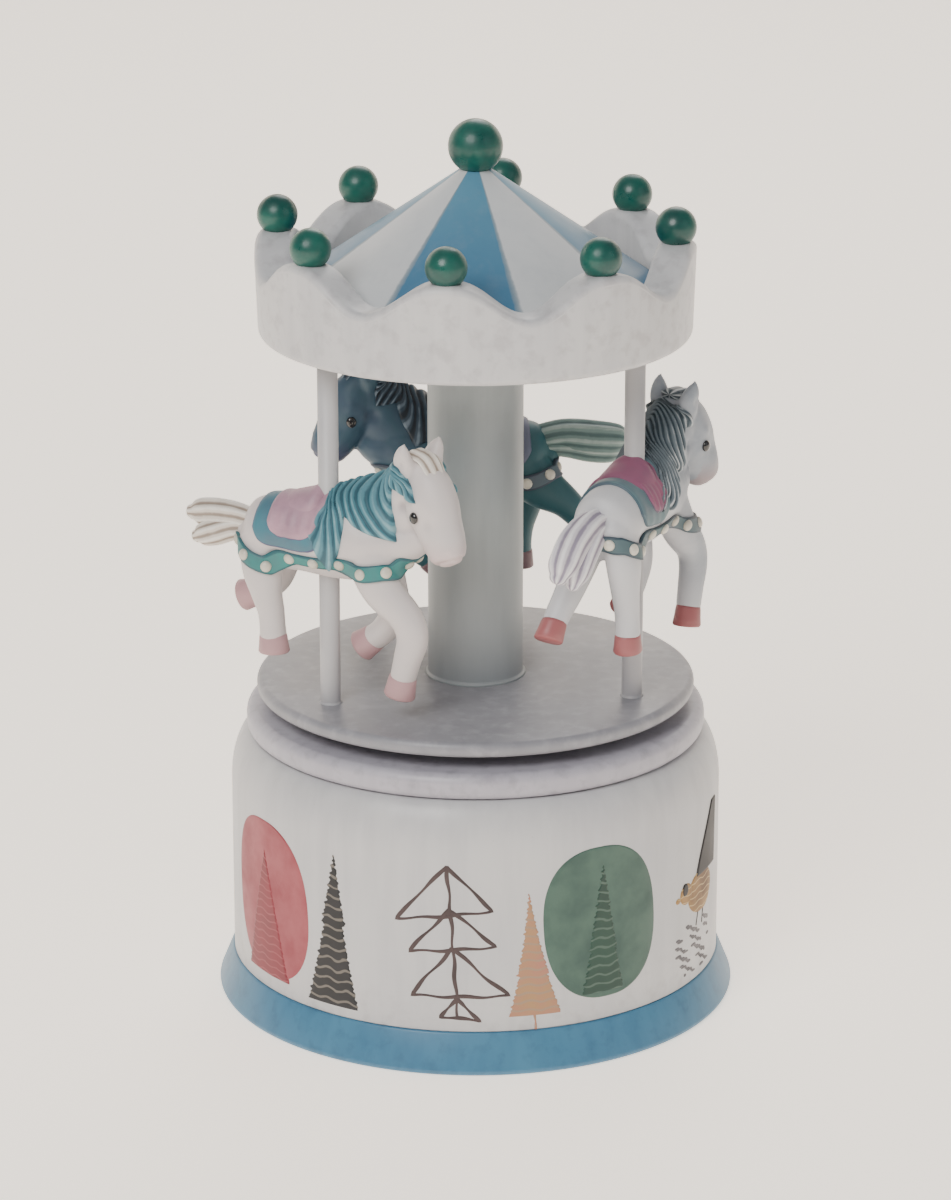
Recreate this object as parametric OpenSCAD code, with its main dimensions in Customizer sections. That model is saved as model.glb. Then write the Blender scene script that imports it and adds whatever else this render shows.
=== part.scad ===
// Carousel music box: a painted wooden drum with a wind-up musical movement inside,
// and a turning platform that carries a column, three horses on poles and a scalloped canopy.
// Millimetres, +Z up, origin at the middle of the underside. The front is towards -Y.

/* [Foot] */
// How far the foot's rim stands out past the drum
foot_flare = 3.5; // [2:0.1:6]
// Height of the foot
foot_h = 8; // [6:0.1:10]
// Height of the step that locates the drum on the foot
foot_step_h = 3; // [2:0.1:4]
// Diameter of the well that the winding key sits in
key_well_d = 36; // [30:0.5:40]

/* [Drum] */
// Outer diameter of the drum
drum_d = 98; // [96:1:130]
// Height of the drum's wall
drum_h = 46.3; // [44:0.1:60]
// Thickness of the drum's wall
drum_wall = 6.5; // [5.5:0.1:6.5]
// Height of the rounded shoulder at the drum's top
shoulder_h = 10.3; // [4:0.1:14]
// How far the shoulder leans in at the drum's top
shoulder_in = 4.4; // [2:0.1:5]
// Thickness of the drum's fixed lid
lid_h = 5.3; // [4:0.1:8]
// How far the lid's edge stands back from the drum's side
lid_setback = 3.2; // [2:0.1:4]

/* [Turntable] */
// Gap between the lid and the turning platform
platform_gap = 2.7; // [2.5:0.1:5]
// Thickness of the platform
platform_h = 3; // [2.8:0.1:6]
// How far the platform's edge stands back from the lid's edge
platform_setback = 2.15; // [1:0.05:6]
// Clear height between the platform and the canopy
storey_h = 70; // [60:1:100]
// Diameter of the middle column
column_d = 18.9; // [15:0.1:28]
// Diameter of the horse poles
pole_d = 4; // [3:0.1:5]
// Distance from the platform's edge to the middle of a pole
pole_inset = 9.45; // [5:0.05:12]

/* [Canopy] */
// Diameter of the canopy at its lower edge
canopy_d = 84.8; // [80:0.2:120]
// How far the canopy's wall leans out up to its top
canopy_lean = 0.6; // [0:0.1:3]
// Height of the canopy from its underside to the crests
canopy_h = 19.2; // [16:0.1:26]
// Thickness of the canopy's wall
canopy_wall = 7.4; // [5:0.1:9]
// Thickness of the canopy's floor
canopy_floor_h = 5; // [4:0.1:8]
// Depth of the dips between the crests
dip_h = 6.5; // [3:0.1:9]
// Radius of each dip's round bottom
dip_r = 10.5; // [6:0.1:11]
// Number of crests, with a ball on each
crests = 8; // [6:1:8]
// Turn of the crests from the front
crest_turn = -12; // [-22:1:22]
// Slope of the roof, in degrees
roof_slope = 34.5; // [25:0.5:45]
// Diameter of the balls on the crests
ball_d = 8; // [6:0.1:9]
// Diameter of the ball at the roof's peak
finial_d = 10.7; // [8:0.1:16]

/* [Horses] */
// Height of each horse's standing hoof above the platform
horse_lifts = [8.3, 13.2, 9.7]; // [6:0.1:20]
// Turn of each horse from its line of travel
horse_turns = [31, 0, 0]; // [-40:1:40]
// Turn of each horse's head, to its left
head_turns = [-25, -15, 0]; // [-30:1:30]
// Height of a horse from its standing hoof to its ears
horse_h = 47.6; // [38:0.1:50]

/* [Movement] */
// Diameter of the spring barrel
barrel_d = 27; // [25:0.2:27.6]
// Height of the spring barrel
barrel_h = 12; // [10:0.1:14]
// Diameter of the pinned cylinder
cylinder_d = 13; // [11:0.1:14]
// Length of the pinned cylinder
cylinder_len = 18; // [15:0.1:18.4]
// Number of tuned teeth on the comb
comb_teeth = 18; // [15:1:18]
// Teeth on the great wheel
great_teeth = 40; // [36:2:44]
// Teeth on the cylinder's pinion
pinion_teeth = 16; // [14:1:18]
// Teeth on the cylinder's wheel
wheel_teeth = 36; // [32:4:40]
// Teeth on the governor's pinion
governor_teeth = 12; // [12:1:14]
// Teeth on the worm wheel
worm_teeth = 20; // [18:1:22]
// Diameter of the air fan
fan_d = 12; // [9:0.5:12]
// Thickness of the bedplate
bed_t = 2.5; // [2:0.1:4]

/* [Fits] */
// Radial clearance of a shaft that turns in its bearing
run_fit = 0.05; // [0.02:0.01:0.1]
// Radial clearance of a glued or pressed joint
glue_fit = 0.03; // [0.02:0.01:0.1]

/* [Hidden] */
$fn = 64;

// Levels, from the underside up
floor_z = foot_h + foot_step_h;
lid_z = foot_h + drum_h;
lid_top_z = lid_z + lid_h;
platform_z = lid_top_z + platform_gap;
deck_z = platform_z + platform_h;
canopy_z = deck_z + storey_h;
canopy_floor_z = canopy_z + canopy_floor_h;
crest_z = canopy_z + canopy_h;

// Radii of the case and the turning top
drum_r = drum_d / 2;
drum_bore_r = drum_r - drum_wall;
foot_r = drum_r + foot_flare;
lid_r = drum_r - lid_setback;
platform_r = lid_r - platform_setback;
canopy_r = canopy_d / 2;
canopy_top_r = canopy_r + canopy_lean;
canopy_bore_r = canopy_top_r - canopy_wall - 0.3;
ball_circle_r = canopy_top_r - canopy_wall / 2 - 0.3;
pole_r = pole_d / 2;
pole_circle_r = min(platform_r, canopy_r + 1.25) - pole_inset;
pole_angles = [210, 330, 90];
pole_sink = 2;
tenon_r = column_d / 2 - 3.4;
tenon_h = 4;

// Roof and balls
roof_gap = 0.3;
roof_r = canopy_bore_r - roof_gap;
roof_skirt_h = 5.3;
roof_flat_r = 3;
roof_edge_z = canopy_floor_z + roof_skirt_h;
roof_top_z = roof_edge_z + (roof_r - roof_flat_r) * tan(roof_slope);
finial_r = finial_d / 2;
finial_z = roof_top_z + sqrt(finial_r ^ 2 - roof_flat_r ^ 2);
ball_r = ball_d / 2;
ball_seat = 0.7 * ball_r;
dowel_r = 1;
dowel_h = 8;

// Drive line on the drum's axis
key_z = 1.2;
key_wing_r = 3.8;
key_wing_x = 6.4;
key_t = 1.8;
key_boss_r = 3.4;
arbor_r = 2;
core_r = 3.5;
shaft_r = 2;
bed_z = floor_z + bed_t;
ratchet_z = bed_z + 0.5;
ratchet_t = 1.2;
ratchet_r = 6;
ratchet_teeth = 12;
barrel_z = ratchet_z + ratchet_t + 0.6;
barrel_wall = 0.8;
barrel_r = barrel_d / 2;
barrel_top_z = barrel_z + barrel_h;
spring_t = 0.35;
spring_turns = 7;
great_t = 1.5;
great_r = barrel_r + 0.3;
ring_r = barrel_r - 1.5;
great_mod = 2 * ring_r / great_teeth;
pinion_r = great_mod * pinion_teeth / 2;
crown_root_z = barrel_top_z + great_t;
mesh_z = crown_root_z + 1.15 * great_mod;
hub_gap = 0.2;
bush_r = 4;
bush_flange_r = 6.5;
bush_flange_t = 0.6;
hub_r = 12;
hub_boss_r = 4.5;
hub_boss_h = 11.7;
hub_z = lid_top_z + bush_flange_t + hub_gap;
shaft_top_z = platform_z + hub_boss_h - 2;

// Cylinder, governor and comb
axis_z = mesh_z + pinion_r;
pin_h = 0.6;
pin_r = 0.2;
cylinder_r = cylinder_d / 2;
pinned_r = cylinder_r + pin_h;
pinion_w = 1.6;
plate_t = 1.2;
inner_x = great_r + 0.5;
cylinder_x = inner_x + plate_t + 0.7;
wheel_x = cylinder_x + cylinder_len + 0.8;
wheel_w = 1.6;
outer_x = wheel_x + wheel_w + 1;
worm_mod = 0.4;
worm_wheel_r = worm_mod * worm_teeth / 2;
worm_tip_r = worm_wheel_r + 0.3;
governor_y = pinned_r + 0.6 + worm_tip_r;
train_mod = 2 * governor_y / (wheel_teeth + governor_teeth);
thin_r = 0.8;
worm_r = 1.5;
worm_e = 0.32;
worm_x = outer_x - 7.6;
worm_y = governor_y + worm_wheel_r + worm_r + 0.08;
worm_pitch = PI * worm_mod;
worm_half_turns = 2;
fan_r = fan_d / 2;
fan_z = bed_z + 3;
fan_h = 10;
governor_x = worm_x - 3.6;
bridge_z = axis_z + 6.5;
comb_gap = 0.2;
comb_len = 10;
comb_base_w = 5.2;
comb_t = 0.8;
comb_pitch = cylinder_len / comb_teeth;
comb_tip_y = -pinned_r - comb_gap;
comb_back_y = comb_tip_y - comb_len - comb_base_w;
bed_r = drum_bore_r - 0.6;
bed_x = -21;
bed_y = [comb_back_y - 0.5, 21];

crown_balls = [for (i = [1:crests]) str("crown_ball_", i)];

// ---- shapes that several pieces share ----

// Points of an ellipse's arc about a centre, from angle a0 to a1
function arc(c, rx, ry, a0, a1, n) =
  [for (i = [0:n]) let (a = a0 + (a1 - a0) * i / n) [c[0] + rx * cos(a), c[1] + ry * sin(a)]];

function polar(r, a) = [r * cos(a), r * sin(a)];

// Involute of an angle, in degrees
function inv(a) = tan(a) * 180 / PI - a;

// Half the angle that a tooth fills at radius r
function tooth_half(teeth, m, r, slack) =
  let (rp = m * teeth / 2, rb = rp * cos(20), a = acos(min(1, rb / max(r, rb))))
  90 / teeth - slack / rp * 90 / PI + inv(20) - inv(a);

// Outline of a spur gear with involute teeth, tooth 0 on +X
module gear(teeth, m, tip, root, slack) {
  rp = m * teeth / 2;
  radii = [rp - root, rp - root * 0.3, rp + tip * 0.35, rp + tip];
  polygon([for (i = [0:teeth - 1]) let (c = i * 360 / teeth) each concat(
    [for (r = radii) polar(r, c - tooth_half(teeth, m, r, slack))],
    [for (k = [3:-1:0]) polar(radii[k], c + tooth_half(teeth, m, radii[k], slack))])]);
}

module ring(r_out, r_in, h) {
  difference() {
    cylinder(r = r_out, h = h);
    translate([0, 0, -1]) cylinder(r = r_in, h = h + 2);
  }
}

// A bar along +X with its start at x
module bar(x, y, z, r, len) {
  translate([x, y, z]) rotate([0, 90, 0]) cylinder(r = r, h = len, $fn = 32);
}

// A slotted cheese-head screw: the shank points down from the head's seat
module screw(head_r, head_h, shank_r, shank_h) {
  difference() {
    union() {
      cylinder(r = head_r, h = head_h, $fn = 32);
      translate([0, 0, -shank_h]) cylinder(r = shank_r, h = shank_h, $fn = 32);
    }
    translate([-head_r - 1, -0.2, head_h * 0.55]) cube([2 * head_r + 2, 0.4, head_h]);
  }
}

module at_poles() {
  for (a = pole_angles) rotate(a) translate([pole_circle_r, 0, 0]) children();
}

// ---- wooden case ----

module foot_disc() {
  rim_z = foot_h * 0.25;
  color([0.36, 0.53, 0.66]) rotate_extrude($fn = 128) polygon(concat(
    [[key_well_d / 2, 0]],
    arc([foot_r - 1, 1], 1, 1, -90, 0, 4),
    [[foot_r, rim_z], [drum_r + 0.2, foot_h], [drum_bore_r - glue_fit, foot_h],
     [drum_bore_r - glue_fit, floor_z], [key_well_d / 2, floor_z]]));
}

module drum_body() {
  top_r = drum_r - shoulder_in;
  color([0.88, 0.87, 0.85]) rotate_extrude($fn = 128) polygon(concat(
    [[drum_bore_r, foot_h], [drum_r, foot_h]],
    arc([top_r, lid_z - shoulder_h], shoulder_in, shoulder_h, 0, 90, 8),
    [[drum_bore_r, lid_z]]));
}

module drum_lid() {
  edge = 0.8;
  spigot_r = drum_bore_r - glue_fit;
  color([0.86, 0.85, 0.84]) rotate_extrude($fn = 128) polygon(concat(
    [[bush_r + glue_fit, lid_z - foot_step_h], [spigot_r, lid_z - foot_step_h], [spigot_r, lid_z]],
    arc([lid_r - edge, lid_z + edge], edge, edge, -90, 0, 3),
    arc([lid_r - edge, lid_top_z - edge], edge, edge, 0, 90, 3),
    [[bush_r + glue_fit, lid_top_z]]));
}

module lid_bush() {
  color("goldenrod") translate([0, 0, lid_z - foot_step_h]) difference() {
    union() {
      cylinder(r = bush_r, h = lid_h + foot_step_h);
      translate([0, 0, lid_h + foot_step_h]) cylinder(r = bush_flange_r, h = bush_flange_t);
    }
    translate([0, 0, -1]) cylinder(r = shaft_r + run_fit, h = lid_h + foot_step_h + 4);
  }
}

// ---- frame of the movement ----

bed_screws = [[bed_x + 2.2, 14], [bed_x + 2.2, -14], [cylinder_x + 6, 18.6], [12, comb_back_y + 2.4]];
bed_screw_r = 1.2;
comb_screw_x = [cylinder_x + 4, cylinder_x + cylinder_len - 4];
comb_screw_y = comb_back_y + comb_base_w / 2;

module bedplate() {
  color("silver") difference() {
    union() {
      translate([0, 0, floor_z]) linear_extrude(bed_t) intersection() {
        circle(r = bed_r, $fn = 128);
        translate([bed_x, bed_y[0]]) square([bed_r - bed_x + 1, bed_y[1] - bed_y[0]]);
      }
      translate([cylinder_x, comb_back_y, bed_z])
        cube([cylinder_len, comb_base_w, axis_z - comb_t - bed_z]);
    }
    translate([0, 0, floor_z - 1]) cylinder(r = arbor_r + run_fit, h = bed_t + 2);
    translate([worm_x, worm_y, bed_z - 1]) cylinder(r = thin_r + run_fit, h = 2, $fn = 32);
    for (p = bed_screws) translate([p[0], p[1], floor_z - 1])
      cylinder(r = bed_screw_r + glue_fit, h = bed_t + 2, $fn = 32);
    for (x = comb_screw_x) translate([x, comb_screw_y, axis_z - comb_t - 4])
      cylinder(r = 1 + glue_fit, h = 5, $fn = 32);
  }
}

module bedplate_screws() {
  color("dimgray") for (p = bed_screws) translate([p[0], p[1], bed_z])
    screw(2.2, 1.2, bed_screw_r, bed_t);
}

// An upright plate across the X axis, w0 to w1 wide, with a round bearing hole for each y
module bearing_plate(x, w0, w1, z1, holes) {
  difference() {
    translate([x, w0, bed_z]) cube([plate_t, w1 - w0, z1 - bed_z]);
    for (y = holes) bar(x - 1, y, axis_z, thin_r + run_fit, plate_t + 2);
  }
}

module inner_bracket() {
  color("silver") bearing_plate(inner_x, -5, 5, axis_z + 3, [0]);
}

module outer_bracket() {
  foot_len = 3;
  color("silver") {
    bearing_plate(outer_x, -6, governor_y + 2.4, axis_z + 3, [0, governor_y]);
    difference() {
      translate([outer_x - foot_len, -6, bed_z]) cube([foot_len, 12, plate_t]);
      translate([outer_x - foot_len / 2, 0, bed_z - 1]) cylinder(r = 0.8, h = 4, $fn = 32);
    }
  }
}

module governor_bracket() {
  leg_y = pinned_r + 0.7;
  plate_z = bed_z + fan_h + 5;
  arm_y = worm_y - 3;
  color("silver") difference() {
    union() {
      translate([governor_x, leg_y, bed_z]) cube([plate_t, 2.8, bridge_z - bed_z]);
      translate([governor_x, leg_y, plate_z]) cube([plate_t, worm_y + 3 - leg_y, bridge_z - plate_z]);
      translate([governor_x, arm_y, bridge_z - plate_t]) cube([worm_x + 3 - governor_x, 6, plate_t]);
      translate([governor_x - 3.4, leg_y, bed_z]) cube([3.4, 3, plate_t]);
    }
    bar(governor_x - 1, governor_y, axis_z, thin_r + run_fit, plate_t + 2);
    translate([worm_x, worm_y, bridge_z - plate_t - 1])
      cylinder(r = thin_r + run_fit, h = plate_t + 2, $fn = 32);
    translate([governor_x - 1.9, leg_y + 1.5, bed_z - 1]) cylinder(r = 0.8, h = 4, $fn = 32);
  }
}

module bracket_screws() {
  spots = [[outer_x - 1.5, 0], [governor_x - 1.9, pinned_r + 2.2]];
  color("dimgray") for (p = spots) translate([p[0], p[1], bed_z + plate_t])
    screw(1.3, 0.7, 0.77, plate_t);
}

// Steel comb: one tuned tooth for each note, cut from a plate with a solid back
module tuned_comb() {
  slot_w = 0.25;
  color("lightsteelblue") translate([cylinder_x, 0, axis_z - comb_t]) difference() {
    linear_extrude(comb_t) difference() {
      translate([0, comb_back_y]) square([cylinder_len, comb_len + comb_base_w]);
      for (i = [1:comb_teeth - 1]) translate([i * comb_pitch - slot_w / 2, comb_back_y + comb_base_w])
        square([slot_w, comb_len + 1]);
      for (x = comb_screw_x) translate([x - cylinder_x, comb_screw_y]) circle(r = 1 + glue_fit, $fn = 32);
    }
  }
}

module comb_screws() {
  color("dimgray") for (x = comb_screw_x) translate([x, comb_screw_y, axis_z])
    screw(1.9, 1.1, 1, comb_t + 3.2);
}

// Springy pawl that stops the key from turning back; its tip stands just clear of the teeth
module click_spring() {
  tip = ratchet_r + 0.25;
  color("lightsteelblue") translate([0, 0, bed_z]) {
    translate([-16, -9, 0]) cube([4, 4, ratchet_t + 0.5]);
    translate([0, 0, 0.5]) linear_extrude(ratchet_t)
      polygon([[-12, -8.4], [-tip * cos(40), -tip * sin(40)], [-tip * cos(46), -tip * sin(46)], [-12, -9]]);
  }
}

// ---- winding key and the arbor that it turns ----

module winding_key() {
  color("gold") difference() {
    union() {
      translate([0, 0, key_z + 1]) cylinder(r = key_boss_r, h = 7, $fn = 32);
      for (s = [-1, 1]) translate([s * key_wing_x, key_t / 2, key_z + key_wing_r]) rotate([90, 0, 0])
        cylinder(r = key_wing_r, h = key_t, $fn = 32);
      translate([-key_wing_x, -key_t / 2, key_z + 1.4]) cube([2 * key_wing_x, key_t, 4.6]);
    }
    translate([0, 0, key_z + 3]) cylinder(r = arbor_r + glue_fit, h = 12, $fn = 32);
    for (s = [-1, 1]) translate([s * (key_wing_x + 0.8), key_t, key_z + key_wing_r])
      rotate([90, 0, 0]) cylinder(r = 1.3, h = 2 * key_t, $fn = 32);
  }
}

module spring_arbor() {
  core_z = barrel_z + barrel_wall + 0.2;
  color("silver") {
    translate([0, 0, key_z + 3]) cylinder(r = arbor_r, h = core_z - key_z - 3, $fn = 32);
    translate([0, 0, core_z]) cylinder(r = core_r, h = barrel_top_z - barrel_wall - 0.4 - core_z, $fn = 32);
  }
}

module ratchet_wheel() {
  depth = 0.9;
  color("darkgoldenrod") translate([0, 0, ratchet_z]) difference() {
    linear_extrude(ratchet_t) polygon([for (i = [0:ratchet_teeth - 1]) let (a = i * 360 / ratchet_teeth)
      each [polar(ratchet_r, a), polar(ratchet_r - depth, a + 3)]]);
    translate([0, 0, -1]) cylinder(r = arbor_r + glue_fit, h = ratchet_t + 2, $fn = 32);
  }
}

// ---- barrel, great wheel and the drive up to the platform ----

module spring_barrel() {
  color("silver") translate([0, 0, barrel_z]) difference() {
    cylinder(r = barrel_r, h = barrel_h);
    translate([0, 0, barrel_wall]) cylinder(r = barrel_r - barrel_wall, h = barrel_h - 2 * barrel_wall);
    translate([0, 0, -1]) cylinder(r = arbor_r + run_fit, h = 4, $fn = 32);
    translate([0, 0, barrel_h - 2]) cylinder(r = shaft_r + glue_fit, h = 4, $fn = 32);
  }
}

// Flat strip wound in a spiral from near the arbor out to the barrel's wall
module mainspring() {
  r0 = core_r + 0.8;
  r1 = barrel_r - barrel_wall - 0.01;
  steps = spring_turns * 24;
  function at(i) = r0 + (r1 - spring_t - r0) * i / steps;
  color("slategray") translate([0, 0, barrel_z + barrel_wall + 0.4])
    linear_extrude(barrel_h - 2 * barrel_wall - 0.8) polygon(concat(
      [for (i = [0:steps]) polar(at(i), i * 15)],
      [for (i = [steps:-1:0]) polar(at(i) + spring_t, i * 15)]));
}

// Contrate wheel: its teeth stand up from the rim and drive the cylinder's pinion
module great_wheel() {
  thick = 0.32 * PI * great_mod;
  tall = crown_root_z + 1.95 * great_mod;
  color("darkgoldenrod") difference() {
    union() {
      translate([0, 0, barrel_top_z]) cylinder(r = great_r, h = great_t);
      for (i = [0:great_teeth - 1]) rotate(i * 360 / great_teeth)
        translate([ring_r - 1, 0, 0]) rotate([90, 0, 90]) linear_extrude(2)
          polygon([[-thick * 0.8, crown_root_z - 0.2], [thick * 0.8, crown_root_z - 0.2],
                   [thick * 0.3, tall], [-thick * 0.3, tall]]);
    }
    translate([0, 0, barrel_top_z - 1]) cylinder(r = shaft_r + glue_fit, h = great_t + 2, $fn = 32);
  }
}

module drive_shaft() {
  color("silver") translate([0, 0, barrel_top_z - barrel_wall])
    cylinder(r = shaft_r, h = shaft_top_z - barrel_top_z + barrel_wall);
}

hub_screw_circle = 8.2;
hub_screw_h = platform_h - 0.6;

module turntable_hub() {
  color("goldenrod") difference() {
    union() {
      translate([0, 0, hub_z]) cylinder(r = hub_r, h = platform_z - hub_z);
      translate([0, 0, hub_z]) cylinder(r = hub_boss_r, h = platform_z - hub_z + hub_boss_h);
    }
    translate([0, 0, hub_z - 1]) cylinder(r = shaft_r + glue_fit, h = shaft_top_z - hub_z + 1);
    for (a = [0:120:240]) rotate(a) translate([hub_screw_circle, 0, hub_z - 1])
      cylinder(r = 0.9 + glue_fit, h = 6, $fn = 32);
  }
}

module hub_screws() {
  color("dimgray") for (a = [0:120:240]) rotate(a) translate([hub_screw_circle, 0, hub_z])
    cylinder(r = 0.9, h = platform_z - hub_z + hub_screw_h, $fn = 32);
}

// ---- pinned cylinder and the train to the air brake ----

// Pins stand in rings, one ring for each note, at steps that follow a simple rule
module pinned_cylinder() {
  per_note = 3;
  color("goldenrod") difference() {
    union() {
      bar(cylinder_x, 0, axis_z, cylinder_r, cylinder_len, $fn = 64);
      for (n = [0:comb_teeth - 1], k = [0:per_note - 1])
        translate([cylinder_x + (n + 0.5) * comb_pitch, 0, axis_z])
          rotate([(n * 137 + k * 360 / per_note + k * n * 17) % 360, 0, 0])
            translate([0, 0, cylinder_r - 0.3]) cylinder(r = pin_r, h = pin_h + 0.3, $fn = 8);
    }
    bar(cylinder_x - 1, 0, axis_z, thin_r + glue_fit, cylinder_len + 2);
  }
}

module cylinder_arbor() {
  x0 = ring_r - pinion_w / 2;
  color("silver") bar(x0, 0, axis_z, thin_r, outer_x + plate_t - x0);
}

module cylinder_pinion() {
  color("goldenrod") translate([ring_r - pinion_w / 2, 0, axis_z]) rotate([90, 0, 90]) difference() {
    linear_extrude(pinion_w) rotate(-90 + 180 / pinion_teeth)
      gear(pinion_teeth, great_mod, 0.8 * great_mod, 1.05 * great_mod, 0.35 * great_mod);
    translate([0, 0, -1]) cylinder(r = thin_r + glue_fit, h = pinion_w + 2, $fn = 32);
  }
}

module cylinder_wheel() {
  color("goldenrod") translate([wheel_x, 0, axis_z]) rotate([90, 0, 90]) difference() {
    linear_extrude(wheel_w) gear(wheel_teeth, train_mod, 0.75 * train_mod, 1.05 * train_mod,
      0.25 * train_mod);
    translate([0, 0, -1]) cylinder(r = thin_r + glue_fit, h = wheel_w + 2, $fn = 32);
  }
}

// Thin arbor with its pinion cut in one piece
module governor_arbor() {
  color("silver") {
    bar(governor_x, governor_y, axis_z, thin_r, outer_x + plate_t - governor_x);
    translate([wheel_x - 0.1, governor_y, axis_z]) rotate([90, 0, 90])
      linear_extrude(wheel_w + 0.2) rotate(180 + 180 / governor_teeth)
        gear(governor_teeth, train_mod, 0.75 * train_mod, 1.05 * train_mod, 0.25 * train_mod);
  }
}

module worm_wheel() {
  thick = 1.4;
  color("ivory") translate([worm_x - thick / 2, governor_y, axis_z]) rotate([90, 0, 90]) difference() {
    linear_extrude(thick) gear(worm_teeth, worm_mod, 0.22, 0.4, 0.22);
    translate([0, 0, -1]) cylinder(r = thin_r + glue_fit, h = thick + 2, $fn = 32);
  }
}

// Endless screw: a round section set off centre and twisted gives one start
module worm_shaft() {
  worm_h = 2 * worm_half_turns * worm_pitch;
  color("silver") {
    translate([worm_x, worm_y, bed_z - 0.9]) cylinder(r = thin_r, h = bridge_z - bed_z + 0.9, $fn = 32);
    translate([worm_x, worm_y, axis_z - worm_h / 2])
      rotate(90) linear_extrude(worm_h, twist = -720 * worm_half_turns, slices = 24 * worm_half_turns)
        translate([worm_e, 0]) circle(r = worm_r, $fn = 16);
  }
}

module air_fan() {
  blade_t = 0.4;
  color("ivory") translate([worm_x, worm_y, fan_z]) difference() {
    union() {
      cylinder(r = 1.5, h = fan_h, $fn = 32);
      translate([-fan_r, -blade_t / 2, 0]) cube([2 * fan_r, blade_t, fan_h]);
    }
    translate([0, 0, -1]) cylinder(r = thin_r + glue_fit, h = fan_h + 2, $fn = 32);
  }
}

// ---- turning top ----

module platform() {
  edge = 1;
  color([0.75, 0.75, 0.76]) difference() {
    rotate_extrude($fn = 128) polygon(concat(
      [[hub_boss_r + glue_fit, platform_z], [platform_r - edge, platform_z]],
      arc([platform_r - edge, deck_z - edge], edge, edge, 0, 90, 3),
      [[hub_boss_r + glue_fit, deck_z]]));
    at_poles() translate([0, 0, deck_z - pole_sink]) cylinder(r = pole_r + glue_fit, h = pole_sink + 1);
    for (a = [0:120:240]) rotate(a) translate([hub_screw_circle, 0, platform_z - 1])
      cylinder(r = 0.9 + glue_fit, h = hub_screw_h + 1, $fn = 32);
  }
}

module column() {
  color([0.85, 0.84, 0.83]) difference() {
    union() {
      translate([0, 0, deck_z]) cylinder(r = column_d / 2, h = storey_h);
      translate([0, 0, canopy_z]) cylinder(r = tenon_r, h = tenon_h);
    }
    translate([0, 0, deck_z - 1]) cylinder(r = hub_boss_r + glue_fit, h = hub_boss_h - platform_h + 1.2);
  }
}

module canopy_crown() {
  edge = 1.6;
  dip_z = crest_z - dip_h + dip_r;
  color([0.88, 0.87, 0.86]) difference() {
    rotate_extrude($fn = 128) polygon(concat(
      [[0, canopy_z]],
      arc([canopy_r - edge, canopy_z + edge], edge, edge, -90, 0, 4),
      [[canopy_top_r, crest_z], [canopy_bore_r, crest_z], [canopy_bore_r, canopy_floor_z],
       [0, canopy_floor_z]]));
    for (i = [0:crests - 1]) rotate(-90 + crest_turn + (i + 0.5) * 360 / crests)
      translate([canopy_bore_r - 4, 0, dip_z]) rotate([0, 90, 0]) cylinder(r = dip_r, h = canopy_wall + 8);
    translate([0, 0, canopy_z - 1]) cylinder(r = tenon_r + glue_fit, h = canopy_floor_h + 2);
    at_poles() translate([0, 0, canopy_z - 1]) cylinder(r = pole_r + glue_fit, h = tenon_h + 1);
  }
}

module canopy_roof() {
  color([0.45, 0.58, 0.70]) difference() {
    rotate_extrude($fn = 128) polygon([[0, canopy_floor_z], [roof_r, canopy_floor_z],
      [roof_r, roof_edge_z], [roof_flat_r, roof_top_z], [0, roof_top_z]]);
    translate([0, 0, roof_top_z - dowel_h / 2]) cylinder(r = dowel_r + glue_fit, h = dowel_h, $fn = 32);
  }
}

module finial_dowel() {
  color("burlywood") translate([0, 0, roof_top_z - dowel_h / 2])
    cylinder(r = dowel_r, h = dowel_h, $fn = 32);
}

module finial_ball() {
  color([0.08, 0.26, 0.25]) difference() {
    translate([0, 0, finial_z]) sphere(r = finial_r);
    translate([0, 0, roof_top_z - finial_r]) cylinder(r = finial_r, h = finial_r);
    translate([0, 0, roof_top_z - 1]) cylinder(r = dowel_r + glue_fit, h = dowel_h / 2 + 1, $fn = 32);
  }
}

module crown_ball(i) {
  color([0.08, 0.26, 0.25]) rotate(-90 + crest_turn + (i - 1) * 360 / crests)
    translate([ball_circle_r, 0, crest_z]) difference() {
      translate([0, 0, ball_seat]) sphere(r = ball_r, $fn = 32);
      translate([0, 0, -ball_r]) cylinder(r = ball_r, h = ball_r);
    }
}

module pole(i) {
  color([0.83, 0.82, 0.81]) rotate(pole_angles[i - 1])
    translate([pole_circle_r, 0, deck_z - pole_sink])
      cylinder(r = pole_r, h = storey_h + pole_sink + tenon_h);
}

// ---- horses ----

// A limb that tapers through a run of balls, each [x, y, z, radius]
module limb(balls) {
  for (i = [0:len(balls) - 2]) hull() for (b = [balls[i], balls[i + 1]])
    translate([b[0], b[1], b[2]]) sphere(r = b[3], $fn = 14);
}

// Where each horse's head stands, forward, sideways and up, from the common head
head_shifts = [[4.2, 0, -0.2], [0, -1.4, 0], [3.6, 0, 0]];

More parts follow.
